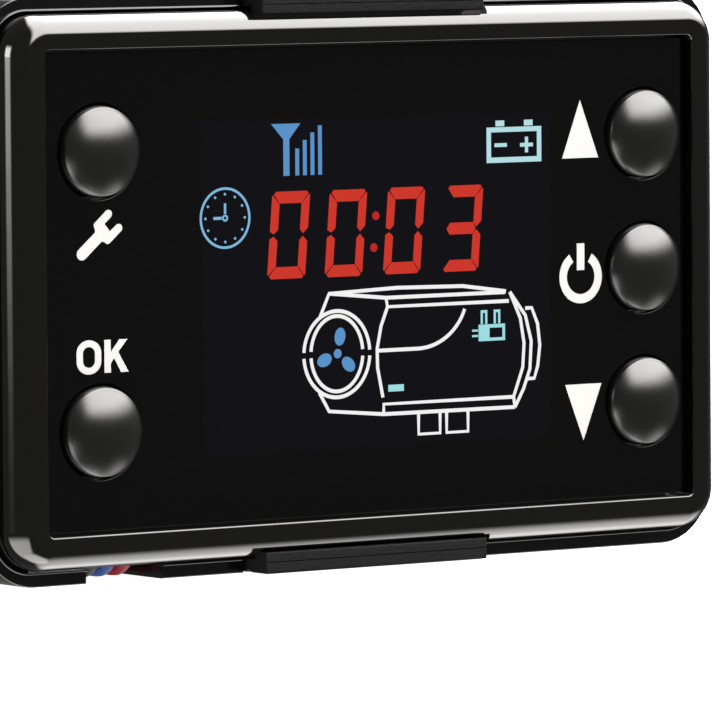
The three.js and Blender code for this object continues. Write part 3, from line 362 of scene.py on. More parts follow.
def only(piece):
    """Leaves one piece selected, and makes it the active one."""
    bpy.ops.object.select_all(action="DESELECT")
    bpy.context.view_layer.objects.active = piece
    piece.select_set(True)


def shut():
    """Leaves edit mode."""
    if bpy.context.object and bpy.context.object.mode == "EDIT":
        bpy.ops.object.mode_set(mode="OBJECT")


def begin(name, add, **size):
    """Adds a primitive, puts its place into its mesh and opens it for editing."""
    shut()
    bpy.ops.object.select_all(action="DESELECT")
    add(**size)
    bpy.ops.object.transform_apply(location=True, rotation=True, scale=True)
    piece = bpy.context.object
    piece.name = piece.data.name = name
    bpy.ops.object.mode_set(mode="EDIT")
    return piece


def box(name, low, high):
    """A block between two corners, opened for editing."""
    low, high = at(*low), at(*high)
    return begin(
        name,
        bpy.ops.mesh.primitive_cube_add,
        size=1,
        location=(low + high) / 2,
        scale=high - low,
    )


def drum(name, x, y0, y1, z, r, steps=64):
    """A round bar from front to back, opened for editing."""
    return begin(
        name,
        bpy.ops.mesh.primitive_cylinder_add,
        vertices=steps,
        radius=r / 1000,
        depth=(y1 - y0) / 1000,
        location=at(x, (y0 + y1) / 2, z),
        rotation=(math.pi / 2, 0, 0),
    )


def pick(kind, wanted):
    """In edit mode, selects the faces, edges or verts that wanted says."""
    bpy.ops.mesh.select_mode(type=kind[:-1].upper())
    bpy.ops.mesh.select_all(action="DESELECT")
    data = bpy.context.object.data
    mesh = bmesh.from_edit_mesh(data)
    for part in getattr(mesh, kind):
        if wanted(part):
            part.select_set(True)
    mesh.select_flush_mode()
    bmesh.update_edit_mesh(data)


def near(a, b, slack=0.00002):
    """Whether two measures in metres are the same."""
    return abs(a - b) < slack


def along(edge):
    """The direction of an edge."""
    return (edge.verts[1].co - edge.verts[0].co).normalized()


def push(y=0.0, z=0.0):
    """Extrudes what is selected by millimetres, or by none, to be resized next."""
    bpy.ops.mesh.extrude_region_move(
        TRANSFORM_OT_translate={"value": (0, y / 1000, z / 1000)}
    )


def chamfer(width, steps, profile=0.5):
    """Rounds the edges that are selected."""
    bpy.ops.mesh.bevel(
        offset=width / 1000,
        segments=steps,
        profile=profile,
        affect="EDGES",
        clamp_overlap=False,
    )


def round_along(axis, width, steps):
    """Rounds the edges that run along an axis."""
    pick("edges", lambda e: abs(getattr(along(e), axis)) > 0.9)
    chamfer(width, steps)


def round_rim(y, width, steps, profile=0.5):
    """Rounds the edges that lie in one plane, y millimetres behind the rim's face."""
    plane = at(0, y, 0).y
    pick("edges", lambda e: all(near(v.co.y, plane) for v in e.verts))
    chamfer(width, steps, profile)


def apply(piece, kind, **settings):
    """Puts a modifier on a piece and applies it."""
    only(piece)
    bpy.ops.object.modifier_add(type=kind)
    modifier = piece.modifiers[-1]
    for name, value in settings.items():
        setattr(modifier, name, value)
    bpy.ops.object.modifier_apply(modifier=modifier.name)


def carve(piece, tool, operation="DIFFERENCE"):
    """Cuts a tool out of a piece, or joins it on, and clears the tool away."""
    shut()
    apply(piece, "BOOLEAN", operation=operation, object=tool, solver="EXACT")
    bpy.data.objects.remove(tool, do_unlink=True)


def close(piece, body, material, nodes, angle):
    """Finishes a piece: normals, shading, material, and what it rides on and stands for."""
    shut()
    only(piece)
    bpy.ops.object.mode_set(mode="EDIT")
    bpy.ops.mesh.select_all(action="SELECT")
    bpy.ops.mesh.remove_doubles(threshold=0.000001)
    bpy.ops.mesh.normals_make_consistent(inside=False)
    bpy.ops.object.mode_set(mode="OBJECT")
    bpy.ops.object.shade_smooth_by_angle(angle=math.radians(angle))
    apply(piece, "WEIGHTED_NORMAL", keep_sharp=True, weight=100)
    piece.data.materials.clear()
    piece.data.materials.append(material)
    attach(piece, body)
    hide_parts(*nodes)


BOOT_R = 2.65
BOOT_NECK = BOOT_START + 6.2
NECK_LENGTH = 0.6
RING_CUT = 0.35
boot_z = TABLE + CABLE_HEIGHT
boot = drum(
    "moulded_boot", CORE_X, BOOT_NECK, BOOT_NECK + NECK_LENGTH, boot_z, BOOT_R, 48
)
pick("faces", lambda f: f.normal.y > 0.9)
for length, r in (
    (0.3, BOOT_R - RING_CUT),
    (0.4, BOOT_R - RING_CUT),
    (0.3, BOOT_R),
    (0.5, BOOT_R),
    (0.3, BOOT_R - RING_CUT),
    (0.4, BOOT_R - RING_CUT),
    (0.3, BOOT_R - 0.05),
    (0.7, BOOT_R - 0.3),
):
    push(y=length)
    ring = [v.co for v in bmesh.from_edit_mesh(boot.data).verts if v.select]
    grown = r / 1000 / max(abs(corner.z - at(0, 0, boot_z).z) for corner in ring)
    bpy.ops.transform.resize(
        value=(grown, 1, grown), center_override=at(CORE_X, 0, boot_z)
    )
pick("faces", lambda f: f.normal.y < -0.9)
for length, w, h in ((2.6, 1.12, 0.72), (3.0, 1.0, 0.68), (0.6, 0.9, 0.86)):
    push(y=-length)
    bpy.ops.transform.resize(value=(w, 1, h), center_override=at(CORE_X, 0, boot_z))
close(boot, "panel_in_holder", sheath.material, ["lead_boot"], 40)

# ------------------------------------------------------------------ tie round the coil
# A ribbon tie of plastic over steel wire, wound once round both layers of the coil with its
# two ends twisted together on top.

TIE_W = 3
TIE_T = 0.45
TWIST = (0.0018, 0.0009, 0.0006)
TWIST_STEPS, TWIST_RISE, TWIST_TURN = 10, 0.22, math.radians(24)
tie_r = COIL_R - COIL_PITCH * COIL_TURNS / 4
tie_middle = at(COIL_X, COIL_Y - tie_r, TABLE + CABLE_HEIGHT + COIL_PITCH / 2)
tie_wide = (CABLE_ACROSS + GAP) / 1000
tie_tall = tie_wide + COIL_PITCH / 1000
tie = begin(
    "ribbon_tie",
    bpy.ops.mesh.primitive_cube_add,
    size=1,
    location=tie_middle,
    scale=(TIE_W / 1000, tie_wide, tie_tall),
)
round_along("x", CABLE_ACROSS / 2, 10)
pick("faces", lambda f: abs(f.normal.x) > 0.9)
bpy.ops.mesh.delete(type="FACE")
bpy.ops.object.mode_set(mode="OBJECT")
apply(tie, "SOLIDIFY", thickness=TIE_T / 1000, offset=1)
tie_finish = Finish("tie_plastic", Base_Color=(0.01, 0.01, 0.011, 1))
tie_finish.grain(2500, 2, 0.35, 0.2)
twist = begin(
    "tie_twist",
    bpy.ops.mesh.primitive_cube_add,
    size=1,
    location=tie_middle + Vector((0, 0, tie_tall / 2 + 0.0003)),
    scale=TWIST,
)
pick("faces", lambda f: f.normal.z > 0.9)
for _ in range(TWIST_STEPS):
    push(z=TWIST_RISE)
    bpy.ops.transform.rotate(
        value=TWIST_TURN, orient_axis="Z", center_override=tie_middle
    )
carve(tie, twist, "UNION")
close(tie, "panel_in_holder", tie_finish.material, ["coil_tie"], 40)

# ------------------------------------------------------------------ plug of the lead
# A three-way housing of glass-filled nylon with a snap ramp on top, three terminal ways in
# its face and grip ribs on both sides.

PLUG_L, PLUG_W = 20, 16
PLUG_RAMP = 2.2
RAMP_START, RAMP_END = PLUG_L * 0.45, PLUG_L * 0.62
SPINE_SIDE = PLUG_W * 0.2
WAY_PITCH, WAY_SIDE, WAY_DEPTH = 4.6, 1.1, 7
plug_x = COIL_X + TAIL_LENGTH + GAP
plug_y = COIL_Y + COIL_R
plug = box(
    "three_way_plug",
    (plug_x + 1, plug_y - PLUG_W / 2, TABLE),
    (plug_x + PLUG_L, plug_y + PLUG_W / 2, TABLE + PLUG_H - PLUG_RAMP - 0.6),
)
pick("edges", lambda e: True)
chamfer(0.4, 3)


def span(side, inner, outer):
    """Two distances from the middle, on one side of it, as low and high."""
    return sorted((side * inner, side * outer))


spine = box(
    "plug_spine",
    (plug_x, plug_y - SPINE_SIDE, TABLE + 0.02),
    (plug_x + PLUG_L - 0.02, plug_y + SPINE_SIDE, TABLE + PLUG_H - PLUG_RAMP),
)
pick("edges", lambda e: True)
chamfer(0.3, 2)
carve(plug, spine, "UNION")
ramp = box(
    "plug_ramp",
    (plug_x + RAMP_START, plug_y - SPINE_SIDE, TABLE + PLUG_H - PLUG_RAMP - 1),
    (plug_x + RAMP_END, plug_y + SPINE_SIDE, TABLE + PLUG_H),
)
ramp_top = at(0, 0, TABLE + PLUG_H).z
ramp_end = at(plug_x + RAMP_END, 0, 0).x
pick(
    "edges",
    lambda e: all(near(v.co.z, ramp_top) and near(v.co.x, ramp_end) for v in e.verts),
)
chamfer(2, 3)
carve(plug, ramp, "UNION")
for side in (-1, 1):
    for i in range(3):
        reach = span(side, PLUG_W / 2 - 0.5, PLUG_W / 2 + 0.6)
        rib_x = plug_x + 3 + 2 * i
        rib = box(
            "grip_rib",
            (rib_x, plug_y + reach[0], TABLE + 1),
            (rib_x + 1, plug_y + reach[1], TABLE + PLUG_H - PLUG_RAMP - 1.6),
        )
        round_along("z", 0.25, 2)
        carve(plug, rib, "UNION")
for i in (-1, 0, 1):
    way_y, way_z = plug_y + WAY_PITCH * i, TABLE + (PLUG_H - PLUG_RAMP) / 2
    way = box(
        "terminal_way",
        (plug_x + PLUG_L - WAY_DEPTH, way_y - WAY_SIDE, way_z - WAY_SIDE),
        (plug_x + PLUG_L + 1, way_y + WAY_SIDE, way_z + WAY_SIDE),
    )
    carve(plug, way)
nylon = Finish("plug_nylon", Base_Color=(0.02, 0.0205, 0.022, 1))
nylon.grain(1800, 4, 0.36, 0.25, 0.00003, gain=0.65)
close(plug, "panel_in_holder", nylon.material, ["lead_plug"], 25)

for i, core in enumerate(cores):
    at(CORE_X + (i - 1) * CORE_PITCH, CORE_Y, CORE_TOP)
at(CORE_X, BOOT_START + BOOT_LENGTH + GAP, TABLE + CABLE_HEIGHT)

# ------------------------------------------------------------------ front frame
# The bezel: one injection moulding in polished black ABS. A flat land runs round the opening
# and rolls over a wide shoulder into the sides; the face wall behind it carries the lens.

OPENING_W, OPENING_H = 87.5, 52.2
SHOULDER_W, SHOULDER_DEPTH, SHOULDER_FULLNESS = 2.2, 3, 0.44
FRAME_W, FRAME_H = 95.7, 59.8
FRAME_CORNER_R = 4.5
FRAME_DEPTH = 6
FRAME_WALL = 1.6
FACE_Y, FACE_BACK_Y = 2.5, 4.0
WINDOW = (-23.9, 25.5, -19.5, 18.9)
BUTTON_GAP = 0.28
BUTTON_R = 4.98
BUTTONS = {
    "settings": (-36.3, 15.1),
    "ok": (-36.3, -15.1),
    "up": (37.5, 15.1),
    "power": (37.5, 0),
    "down": (37.5, -15.1),
}
POSTS = [(sx * 41.25, sz * 23.9) for sx in (-1, 1) for sz in (-1, 1)]
POST_R, POST_END_Y = 2.3, 12.1
PILOT_R, PILOT_Y = 1.4, 5.5
FENCE_OUTSIDE, FENCE_INSIDE, FENCE_DEPTH = 3.4, 2.6, 1.6
SUNK = 0.05
stretch = SHOULDER_DEPTH / SHOULDER_W
bezel = box(
    "polished_bezel",
    (-FRAME_W / 2, 0, -FRAME_H / 2),
    (FRAME_W / 2, FRAME_DEPTH / stretch, FRAME_H / 2),
)
face = at(0, 0, 0).y
round_along("y", FRAME_CORNER_R, 18)
round_rim(0, SHOULDER_W, 20, SHOULDER_FULLNESS)
bpy.ops.mesh.select_all(action="SELECT")
bpy.ops.transform.resize(value=(1, stretch, 1), center_override=(0, face, 0))
pick("faces", lambda f: f.normal.y < -0.99 and f.calc_area() > 0.001)
land = (FRAME_H - OPENING_H) / 2 - SHOULDER_W
bpy.ops.mesh.inset(thickness=land / 1000)
bpy.ops.transform.resize(
    value=(OPENING_W / (FRAME_W - 2 * (SHOULDER_W + land)), 1, 1), center_override=at(0, 0, 0)
)
push(y=FACE_Y)
pick(
    "edges",
    lambda e: all(
        near(v.co.y, face)
        and abs(v.co.x) < (OPENING_W / 2 + 0.2) / 1000
        and abs(v.co.z - at(0, 0, 0).z) < (OPENING_H / 2 + 0.2) / 1000
        for v in e.verts
    ),
)
chamfer(0.22, 4)
pick("faces", lambda f: f.normal.y > 0.99 and f.calc_area() > 0.001)
bpy.ops.mesh.inset(thickness=FRAME_WALL / 1000)
push(y=FACE_BACK_Y - FRAME_DEPTH)

left, right_side, bottom, top = WINDOW
carve(bezel, box("window", (left, FACE_Y - 1, bottom), (right_side, FACE_BACK_Y + 1, top)))
for x, z in BUTTONS.values():
    carve(
        bezel, drum("hole", x, FACE_Y - 1, FACE_BACK_Y + 1, z, BUTTON_R + BUTTON_GAP)
    )
for x, z in POSTS:
    carve(bezel, drum("post", x, FACE_BACK_Y - SUNK, POST_END_Y, z, POST_R, 32), "UNION")
    carve(bezel, drum("pilot", x, PILOT_Y, POST_END_Y + 0.9, z, PILOT_R, 24))
fence = box(
    "fence",
    (left - FENCE_OUTSIDE, FACE_BACK_Y - SUNK, bottom - FENCE_OUTSIDE),
    (right_side + FENCE_OUTSIDE, FACE_BACK_Y + FENCE_DEPTH, top + FENCE_OUTSIDE),
)
round_along("y", 1, 4)
carve(
    fence,
    box(
        "fence_inside",
        (left - FENCE_INSIDE, FACE_BACK_Y - 1, bottom - FENCE_INSIDE),
        (right_side + FENCE_INSIDE, FACE_BACK_Y + 3, top + FENCE_INSIDE),
    ),
)
carve(bezel, fence, "UNION")

LATCH_W = 30
HOOK_END = 2.9
SEAT_FLOOR, SEAT_TOP = 28.95, 31
SEAT_SIDE, SEAT_FLARE = LATCH_W / 2 + 0.45, 1.13
for side in (-1, 1):
    low, high = span(side, SEAT_FLOOR, SEAT_TOP)
    seat = box("hook_seat", (-SEAT_SIDE, -1, low), (SEAT_SIDE, HOOK_END + GAP, high))
    outer = at(0, 0, side * SEAT_TOP).z
    pick("faces", lambda f: f.normal.z * side > 0.9)
    bpy.ops.transform.resize(value=(SEAT_FLARE, 1, 1), center_override=(0, 0, outer))
    carve(bezel, seat)

gloss = Finish("polished_black_abs", Base_Color=(0.001, 0.0009, 0.0008, 1))
peel = gloss.noise(160, 1)
smear = gloss.noise(55, 4, 0.6)
gloss.feed("Roughness", smear * 0.05 + 0.045)
gloss.bump(peel, 0.000012)
close(bezel, "panel_in_holder", gloss.material, ["front_frame"], 28)

# ------------------------------------------------------------------ lens panel
# A sheet of smoked acrylic, back-printed black except over the display, laid flat in the
# opening on its tape, with five round holes for the buttons.

LENS_Y, LENS_BACK_Y = 1.2, 2.2
LENS_EDGE = 0.1
GLOW_W, GLOW_H, GLOW_FADE = 0.0235, 0.018, 0.0003
lens = box(
    "smoked_lens",
    (-OPENING_W / 2 + GAP, LENS_Y, -OPENING_H / 2 + GAP),
    (OPENING_W / 2 - GAP, LENS_BACK_Y, OPENING_H / 2 - GAP),
)
round_along("y", 0.8, 6)
lens_face = at(0, LENS_Y, 0).y
round_rim(LENS_Y, LENS_EDGE, 2)
for x, z in BUTTONS.values():
    carve(
        lens,
        drum("hole", x, LENS_Y - 1, LENS_BACK_Y + 1, z, BUTTON_R + BUTTON_GAP, 96),
    )
for place in BUTTONS.values():
    bpy.ops.object.mode_set(mode="EDIT")
    hub = at(place[0], 0, place[1])
    pick(
        "edges",
        lambda e: all(
            near(v.co.y, lens_face)
            and near(
                math.hypot(v.co.x - hub.x, v.co.z - hub.z),
                (BUTTON_R + BUTTON_GAP) / 1000,
                0.00005,
            )
            for v in e.verts
        ),
    )
    chamfer(LENS_EDGE, 2)
    bpy.ops.object.mode_set(mode="OBJECT")

acrylic = Finish(
    "smoked_acrylic",
    Base_Color=(0.0006, 0.0006, 0.0006, 1),
    Specular_IOR_Level=0.24,
    Emission_Strength=1.0,
)
middle = at((WINDOW[0] + WINDOW[1]) / 2, 0, (WINDOW[2] + WINDOW[3]) / 2)
across = acrylic.node("SeparateXYZ", Vector=acrylic.here()) - middle.x
tall = acrylic.node("SeparateXYZ", output=2, Vector=acrylic.here()) - middle.z
leak_across = across.sum("ABSOLUTE").ramp(GLOW_W + GLOW_FADE, GLOW_W)
leak_up = tall.sum("ABSOLUTE").ramp(GLOW_H + GLOW_FADE, GLOW_H)
acrylic.feed(
    "Emission Color",
    acrylic.mix(leak_across * leak_up, (0, 0, 0, 1), (0.0009, 0.0009, 0.0030, 1)),
)
acrylic.grain(70, 4, 0.05, 0.04, gain=0.6)
close(lens, "panel_in_holder", acrylic.material, ["lens_panel"], 28)


def dress(material, *nodes):
    """Gives a real finish to nodes that keep their own solids."""
    for node in nodes:
        slots = bpy.data.objects[node].data.materials
        slots.clear()
        slots.append(material)


foam = Finish("black_foam_tape", Base_Color=(0.02, 0.02, 0.02, 1))
dress(foam.grain(3000, 3, 0.7, 0.2, 0.00004), "lens_tape")

# ------------------------------------------------------------------ push buttons
# Five domed caps moulded in satin dark grey ABS, with a small round on their edge. Each has a
# collar behind the face wall and a stem on the plunger of its own tactile switch.

CREST_Y = -1.2
BUTTON_DOME = 1.7
BUTTON_EDGE = 0.5
COLLAR_R, STEM_R = BUTTON_R + BUTTON_GAP + 0.7, 1.6
COLLAR_Y, COLLAR_END_Y, STEM_END_Y = 4.15, 4.95, 5.35
ball_r = (BUTTON_R**2 + BUTTON_DOME**2) / (2 * BUTTON_DOME)

satin = Finish("satin_grey_abs", Base_Color=(0.0022, 0.0022, 0.0021, 1))
satin.grain(5200, 3, 0.17, 0.10, 0.000011, gain=0.6)


def round_cap(name, x, z):
    """A cap: the top of a ball, then its wall, collar and stem, all round the hub."""
    cap = begin(
        name,
        bpy.ops.mesh.primitive_uv_sphere_add,
        segments=96,
        ring_count=120,
        radius=ball_r / 1000,
        location=at(x, CREST_Y + ball_r, z),
        rotation=(math.pi / 2, 0, 0),
    )
    edge_y = CREST_Y + BUTTON_DOME
    hub = at(x, edge_y, z)
    bpy.ops.mesh.select_all(action="SELECT")
    bpy.ops.mesh.bisect(plane_co=hub, plane_no=(0, 1, 0), clear_outer=True)
    pick("edges", lambda e: e.is_boundary)
    push(y=COLLAR_Y - edge_y)
    wide = COLLAR_R / BUTTON_R
    push()
    bpy.ops.transform.resize(value=(wide, 1, wide), center_override=hub)
    push(y=COLLAR_END_Y - COLLAR_Y)
    push()
    narrow = STEM_R / COLLAR_R
    bpy.ops.transform.resize(value=(narrow, 1, narrow), center_override=hub)
    push(y=STEM_END_Y - COLLAR_END_Y)
    bpy.ops.mesh.edge_face_add()
    round_rim(edge_y, BUTTON_EDGE, 8)
    return cap


for name, (x, z) in BUTTONS.items():
    cap = round_cap(f"{name}_cap", x, z)
    close(cap, f"{name}_key", satin.material, [f"{name}_button"], 50)

plunger = Finish("plunger_nylon", Base_Color=(0.22, 0.05, 0.03, 1))
dress(plunger.grain(2000, 2, 0.4, 0.2), *(f"{name}_plunger" for name in BUTTONS))
switch = Finish("switch_case", Base_Color=(0.012, 0.012, 0.013, 1))
dress(switch.grain(2600, 3, 0.4, 0.2, 0.00002), *(f"{name}_switch" for name in BUTTONS))

# ------------------------------------------------------------------ printed marks
# White ink, screen-printed on the lens beside the buttons: a spanner, OK, two arrows and the
# stand-by sign. Each is a film a few hundredths of a millimetre thick.

INK = 0.03
INK_SHADE = 0.42
WHITE = (226, 226, 224)


def film(name, outlines, colour=WHITE, glow=0):
    """A flat film on the lens, from closed outlines in millimetres; inner ones are holes."""
    sheet = bpy.data.curves.new(name, "CURVE")
    sheet.dimensions = "2D"
    sheet.fill_mode = "BOTH"
    sheet.extrude = INK / 2000
    for outline in outlines:
        spline = sheet.splines.new("POLY")
        spline.points.add(len(outline) - 1)
        for knot, (x, z) in zip(spline.points, outline):
            knot.co = (x / 1000, z / 1000, 0, 1)
        spline.use_cyclic_u = True
    stick(name, sheet, colour, glow)


def stick(name, sheet, colour, glow):
    """Makes a flat curve a mesh, stands it up and lays it on the lens."""
    piece = bpy.data.objects.new(name, sheet)
    bpy.context.collection.objects.link(piece)
    only(piece)
    bpy.ops.object.convert(target="MESH")
    piece = bpy.context.object
    piece.rotation_euler = (math.pi / 2, 0, 0)
    piece.location = at(0, LENS_Y - INK / 2, 0)
    bpy.ops.object.transform_apply(location=True, rotation=True, scale=True)
    piece.data.materials.clear()
    piece.data.materials.append(marking(colour, glow))
    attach(piece, "panel_in_holder")


markings = {}


def marking(rgb, glow):
    """Ink or a lit segment of one colour, very slightly uneven."""
    if (rgb, glow) not in markings:
        colour = (*light_of(*rgb), 1)
        ink = Finish(
            f"mark_{len(markings)}",
            Base_Color=(*(0 if glow else INK_SHADE * c for c in colour[:3]), 1),
            Emission_Strength=glow,
            Specular_IOR_Level=0 if glow else 0.3,
            Roughness=0.6,
        )
        uneven = ink.noise(2500, 2)
        dimmer = (*(c * 0.8 for c in colour[:3]), 1)
        ink.feed("Emission Color", ink.mix(uneven * 0.35, colour, dimmer))
        markings[rgb, glow] = ink.material
    return markings[rgb, glow]


def arc(x, z, rx, rz, start, end, steps):
    """Points on an oval, from one angle to another in degrees, 0 at the right."""
    turns = [math.radians(start + (end - start) * i / steps) for i in range(steps + 1)]
    return [(x + rx * math.cos(t), z + rz * math.sin(t)) for t in turns]


def bar(x0, z0, x1, z1):
    """An upright oblong, from its lower left corner to its upper right one."""
    return [(x0, z0), (x1, z0), (x1, z1), (x0, z1)]


film("up_arrow", [[(28.7, 19.06), (26.16, 12.56), (31.24, 12.56)]])
film("down_arrow", [[(28.98, -19.18), (26.42, -12.86), (31.54, -12.86)]])
STANDBY_X, STANDBY_Z = 28.69, -0.78
STANDBY_R, STANDBY_HOLE_R = 2.99, 1.95
film(
    "standby_sign",
    [
        arc(STANDBY_X, STANDBY_Z, STANDBY_R, STANDBY_R, 122, 418, 56)
        + arc(STANDBY_X, STANDBY_Z, STANDBY_HOLE_R, STANDBY_HOLE_R, 418, 122, 48),
        bar(STANDBY_X - 0.53, STANDBY_Z + 0.75, STANDBY_X + 0.53, STANDBY_Z + 3.75),
    ],
)
LETTER_O_X = -37.75
film(
    "letter_o",
    [
        arc(LETTER_O_X, -6.55, 1.6, 1.4, 0, 180, 20)
        + arc(LETTER_O_X, -7.45, 1.6, 1.4, 180, 360, 20),
        arc(LETTER_O_X, -6.6, 0.78, 0.72, 0, 180, 14)
        + arc(LETTER_O_X, -7.4, 0.78, 0.72, 180, 360, 14),
    ],
)
K_STEM_LEFT, K_STEM_RIGHT, LETTERS_TOP, LETTERS_FOOT = -35.75, -34.92, -5.2, -8.75
film(
    "letter_k",
    [
        [(K_STEM_LEFT, LETTERS_TOP), (K_STEM_LEFT, LETTERS_FOOT)]
        + [(K_STEM_RIGHT, LETTERS_FOOT), (K_STEM_RIGHT, -7.75), (-34.5, -7.2)]
        + [(-33.6, LETTERS_FOOT), (-32.62, LETTERS_FOOT), (-33.95, -6.55)]
        + [(-32.75, LETTERS_TOP), (-33.8, LETTERS_TOP)]
        + [(K_STEM_RIGHT, -6.55), (K_STEM_RIGHT, LETTERS_TOP)]
    ],
)
SPANNER_X, SPANNER_Z = -35.24, 6.88
LEAN = math.radians(40)
HANDLE_R, HANDLE_END = 0.66, -4.3
PRONG_R, PRONG_END, PRONG_SIDE = 0.46, 1.08, 1.02


def half_spanner(side):
    """One side of a spanner that points right, from the end of its handle to its jaw."""
    return [
        (x, side * z)
        for x, z in arc(HANDLE_END, 0, HANDLE_R, HANDLE_R, 180, 90, 8)
        + [(-1.5, HANDLE_R), (-1.3, 0.95)]
        + arc(-0.85, 1.08, 0.4, 0.4, 180, 90, 5)
        + arc(PRONG_END, PRONG_SIDE, PRONG_R, PRONG_R, 90, -90, 10)
        + [(0, 0.53)]
    ]


film(
    "spanner",
    [
        [
            (
                SPANNER_X + x * math.cos(LEAN) - z * math.sin(LEAN),
                SPANNER_Z + x * math.sin(LEAN) + z * math.cos(LEAN),
            )
            for x, z in half_spanner(1) + half_spanner(-1)[::-1]
        ]
    ],
)

# ------------------------------------------------------------------ lit display
# The marks that the display lights up behind the smoked lens: a clock with its time, a signal
# meter, a battery, and a picture of the heater with its fan. They glow through the panel.

RED = (208, 57, 45)
BLUE = (92, 148, 202)
PALE = (184, 225, 232)
SKY = (130, 186, 224)
DULL_RED = (200, 44, 44)
TEAL = (160, 225, 228)
LINE_WHITE = (246, 246, 246)

DIGIT_W, DIGIT_H = 5.05, 9.55
STROKE_W, STROKE_H = 1.05, 1.3
JOINT = 0.1
SLANT = 0.085


def lit_segments(places, left_x, base_z):
    """The outlines of a seven-segment figure, leaning a little to the right."""
    w, h, t, s = DIGIT_W, DIGIT_H, STROKE_W, STROKE_H
    mid = h / 2
    shapes = {
        "top": [(0.5, h), (w - 0.45, h), (w - 0.22, h - 0.22)]
        + [(w - t, h - s), (t, h - s), (0.25, h - 0.3)],
        "upper_right": [(w, h - 0.45), (w, mid + 0.75), (w - t * 0.6, mid + 0.14)]
        + [(w - t, mid + 0.6), (w - t, h - s - JOINT), (w - 0.12, h - 0.32)],
        "upper_left": [(0, h - 0.5), (0.12, h - 0.4), (t, h - s - JOINT)]
        + [(t, mid + 0.6), (t * 0.5, mid + 0.14), (0, mid + 0.4)],
        "lower_right": [(w, mid - 0.75), (w, 0.45), (w - 0.12, 0.32)]
        + [(w - t, s + JOINT), (w - t, mid - 0.6), (w - t * 0.6, mid - 0.14)],
        "lower_left": [(0, mid - 0.4), (t * 0.5, mid - 0.14), (t, mid - 0.6)]
        + [(t, s + JOINT), (0.12, 0.4), (0, 0.5)],
        "bottom": [(t, s), (w - t, s), (w - 0.22, 0.22)]
        + [(w - 0.45, 0), (0.5, 0), (0.25, 0.3)],
        "middle": [(0.35, mid), (0.8, mid + s / 2), (w - t - 0.1, mid + s / 2)]
        + [(w - t * 0.7, mid), (w - t - 0.1, mid - s / 2), (0.8, mid - s / 2)],
    }
    return [
        [(left_x + x + SLANT * z, base_z + z) for x, z in shapes[place]] for place in places
    ]


ROUND_FIGURE = ("top", "upper_right", "upper_left", "lower_right", "lower_left", "bottom")
THREE = ("top", "upper_right", "middle", "lower_right", "bottom")
for name, places, left_x, base_z in (
    ("first_figure", ROUND_FIGURE, -14.3, 0.5),
    ("second_figure", ROUND_FIGURE, -6.6, 0.45),
    ("third_figure", ROUND_FIGURE, 1.3, 0.48),
    ("fourth_figure", THREE, 9.3, 0.45),
):
    film(name, lit_segments(places, left_x, base_z), RED, 1.0)
film(
    "colon",
    [arc(0.4, 7.0, 0.48, 0.48, 0, 345, 23), arc(0.1, 3.5, 0.48, 0.48, 0, 345, 23)],
    DULL_RED,
    0.9,
)

METER_FOOT, METER_BAR_X, METER_BAR_W, METER_PITCH = 11.75, -10.4, 0.5, 1.02
meter = [
    [(-13.6, 17.45), (-9.7, 17.45), (-11.2, 15.75)]
    + [(-11.2, METER_FOOT), (-12.0, METER_FOOT), (-12.0, 15.75)]
]
for i, height in enumerate((14.7, 15.6, 16.4, 17.15)):
    bar_x = METER_BAR_X + METER_PITCH * i
    meter.append(bar(bar_x, METER_FOOT, bar_x + METER_BAR_W, height))
film("signal_meter", meter, BLUE, 1.0)

film(
    "battery_sign",
    [
        bar(15.65, 12.35, 23.25, 16.3),
        bar(16.25, 12.95, 22.65, 15.75),
        bar(16.9, 16.4, 18.1, 17.05),
        bar(20.85, 16.4, 22.05, 17.05),
        bar(16.75, 14.1, 18.45, 14.52),
        [(20.3, 14.05), (20.98, 14.05), (20.98, 13.4), (21.4, 13.4)]
        + [(21.4, 14.05), (22.08, 14.05), (22.08, 14.47), (21.4, 14.47)]
        + [(21.4, 15.15), (20.98, 15.15), (20.98, 14.47), (20.3, 14.47)],
    ],
    PALE,
    1.0,
)

CLOCK_X, CLOCK_Z = -19.8, 7.4
HOUR_R, HOUR_DOT_R = 2.6, 0.15
clock = [
    arc(CLOCK_X, CLOCK_Z, 3.35, 3.35, 0, 355, 71),
    arc(CLOCK_X, CLOCK_Z, 3.08, 3.08, 0, 355, 71),
    bar(CLOCK_X - 1.55, CLOCK_Z - 0.16, CLOCK_X - 0.45, CLOCK_Z + 0.16),
    bar(CLOCK_X - 0.14, CLOCK_Z + 0.45, CLOCK_X + 0.14, CLOCK_Z + 1.6),
    arc(CLOCK_X, CLOCK_Z, 0.38, 0.38, 0, 345, 23),
    arc(CLOCK_X, CLOCK_Z, 0.18, 0.18, 0, 330, 11),
]
for hour in range(12):
    turn = math.radians(30 * hour)
    dot_x = CLOCK_X + HOUR_R * math.cos(turn)
    dot_z = CLOCK_Z + HOUR_R * math.sin(turn)
    clock.append(arc(dot_x, dot_z, HOUR_DOT_R, HOUR_DOT_R, 0, 315, 7))
film("clock_sign", clock, SKY, 1.0)


def drawn(name, lines, width, colour):
    """Fine lines on the display, each through its points in millimetres."""
    sheet = bpy.data.curves.new(name, "CURVE")
    sheet.dimensions = "3D"
    sheet.bevel_depth = width / 2000
    sheet.bevel_resolution = 2
    sheet.use_fill_caps = True
    for points in lines:
        spline = sheet.splines.new("POLY")
        spline.points.add(len(points) - 1)
        for knot, (x, z) in zip(spline.points, points):
            knot.co = (x / 1000, z / 1000, 0, 1)
    stick(name, sheet, colour, 1.0)
    bpy.ops.object.mode_set(mode="EDIT")
    bpy.ops.mesh.select_all(action="SELECT")
    bpy.ops.transform.resize(
        value=(1, INK / width, 1), center_override=at(0, LENS_Y - INK / 2, 0)
    )
    bpy.ops.object.mode_set(mode="OBJECT")


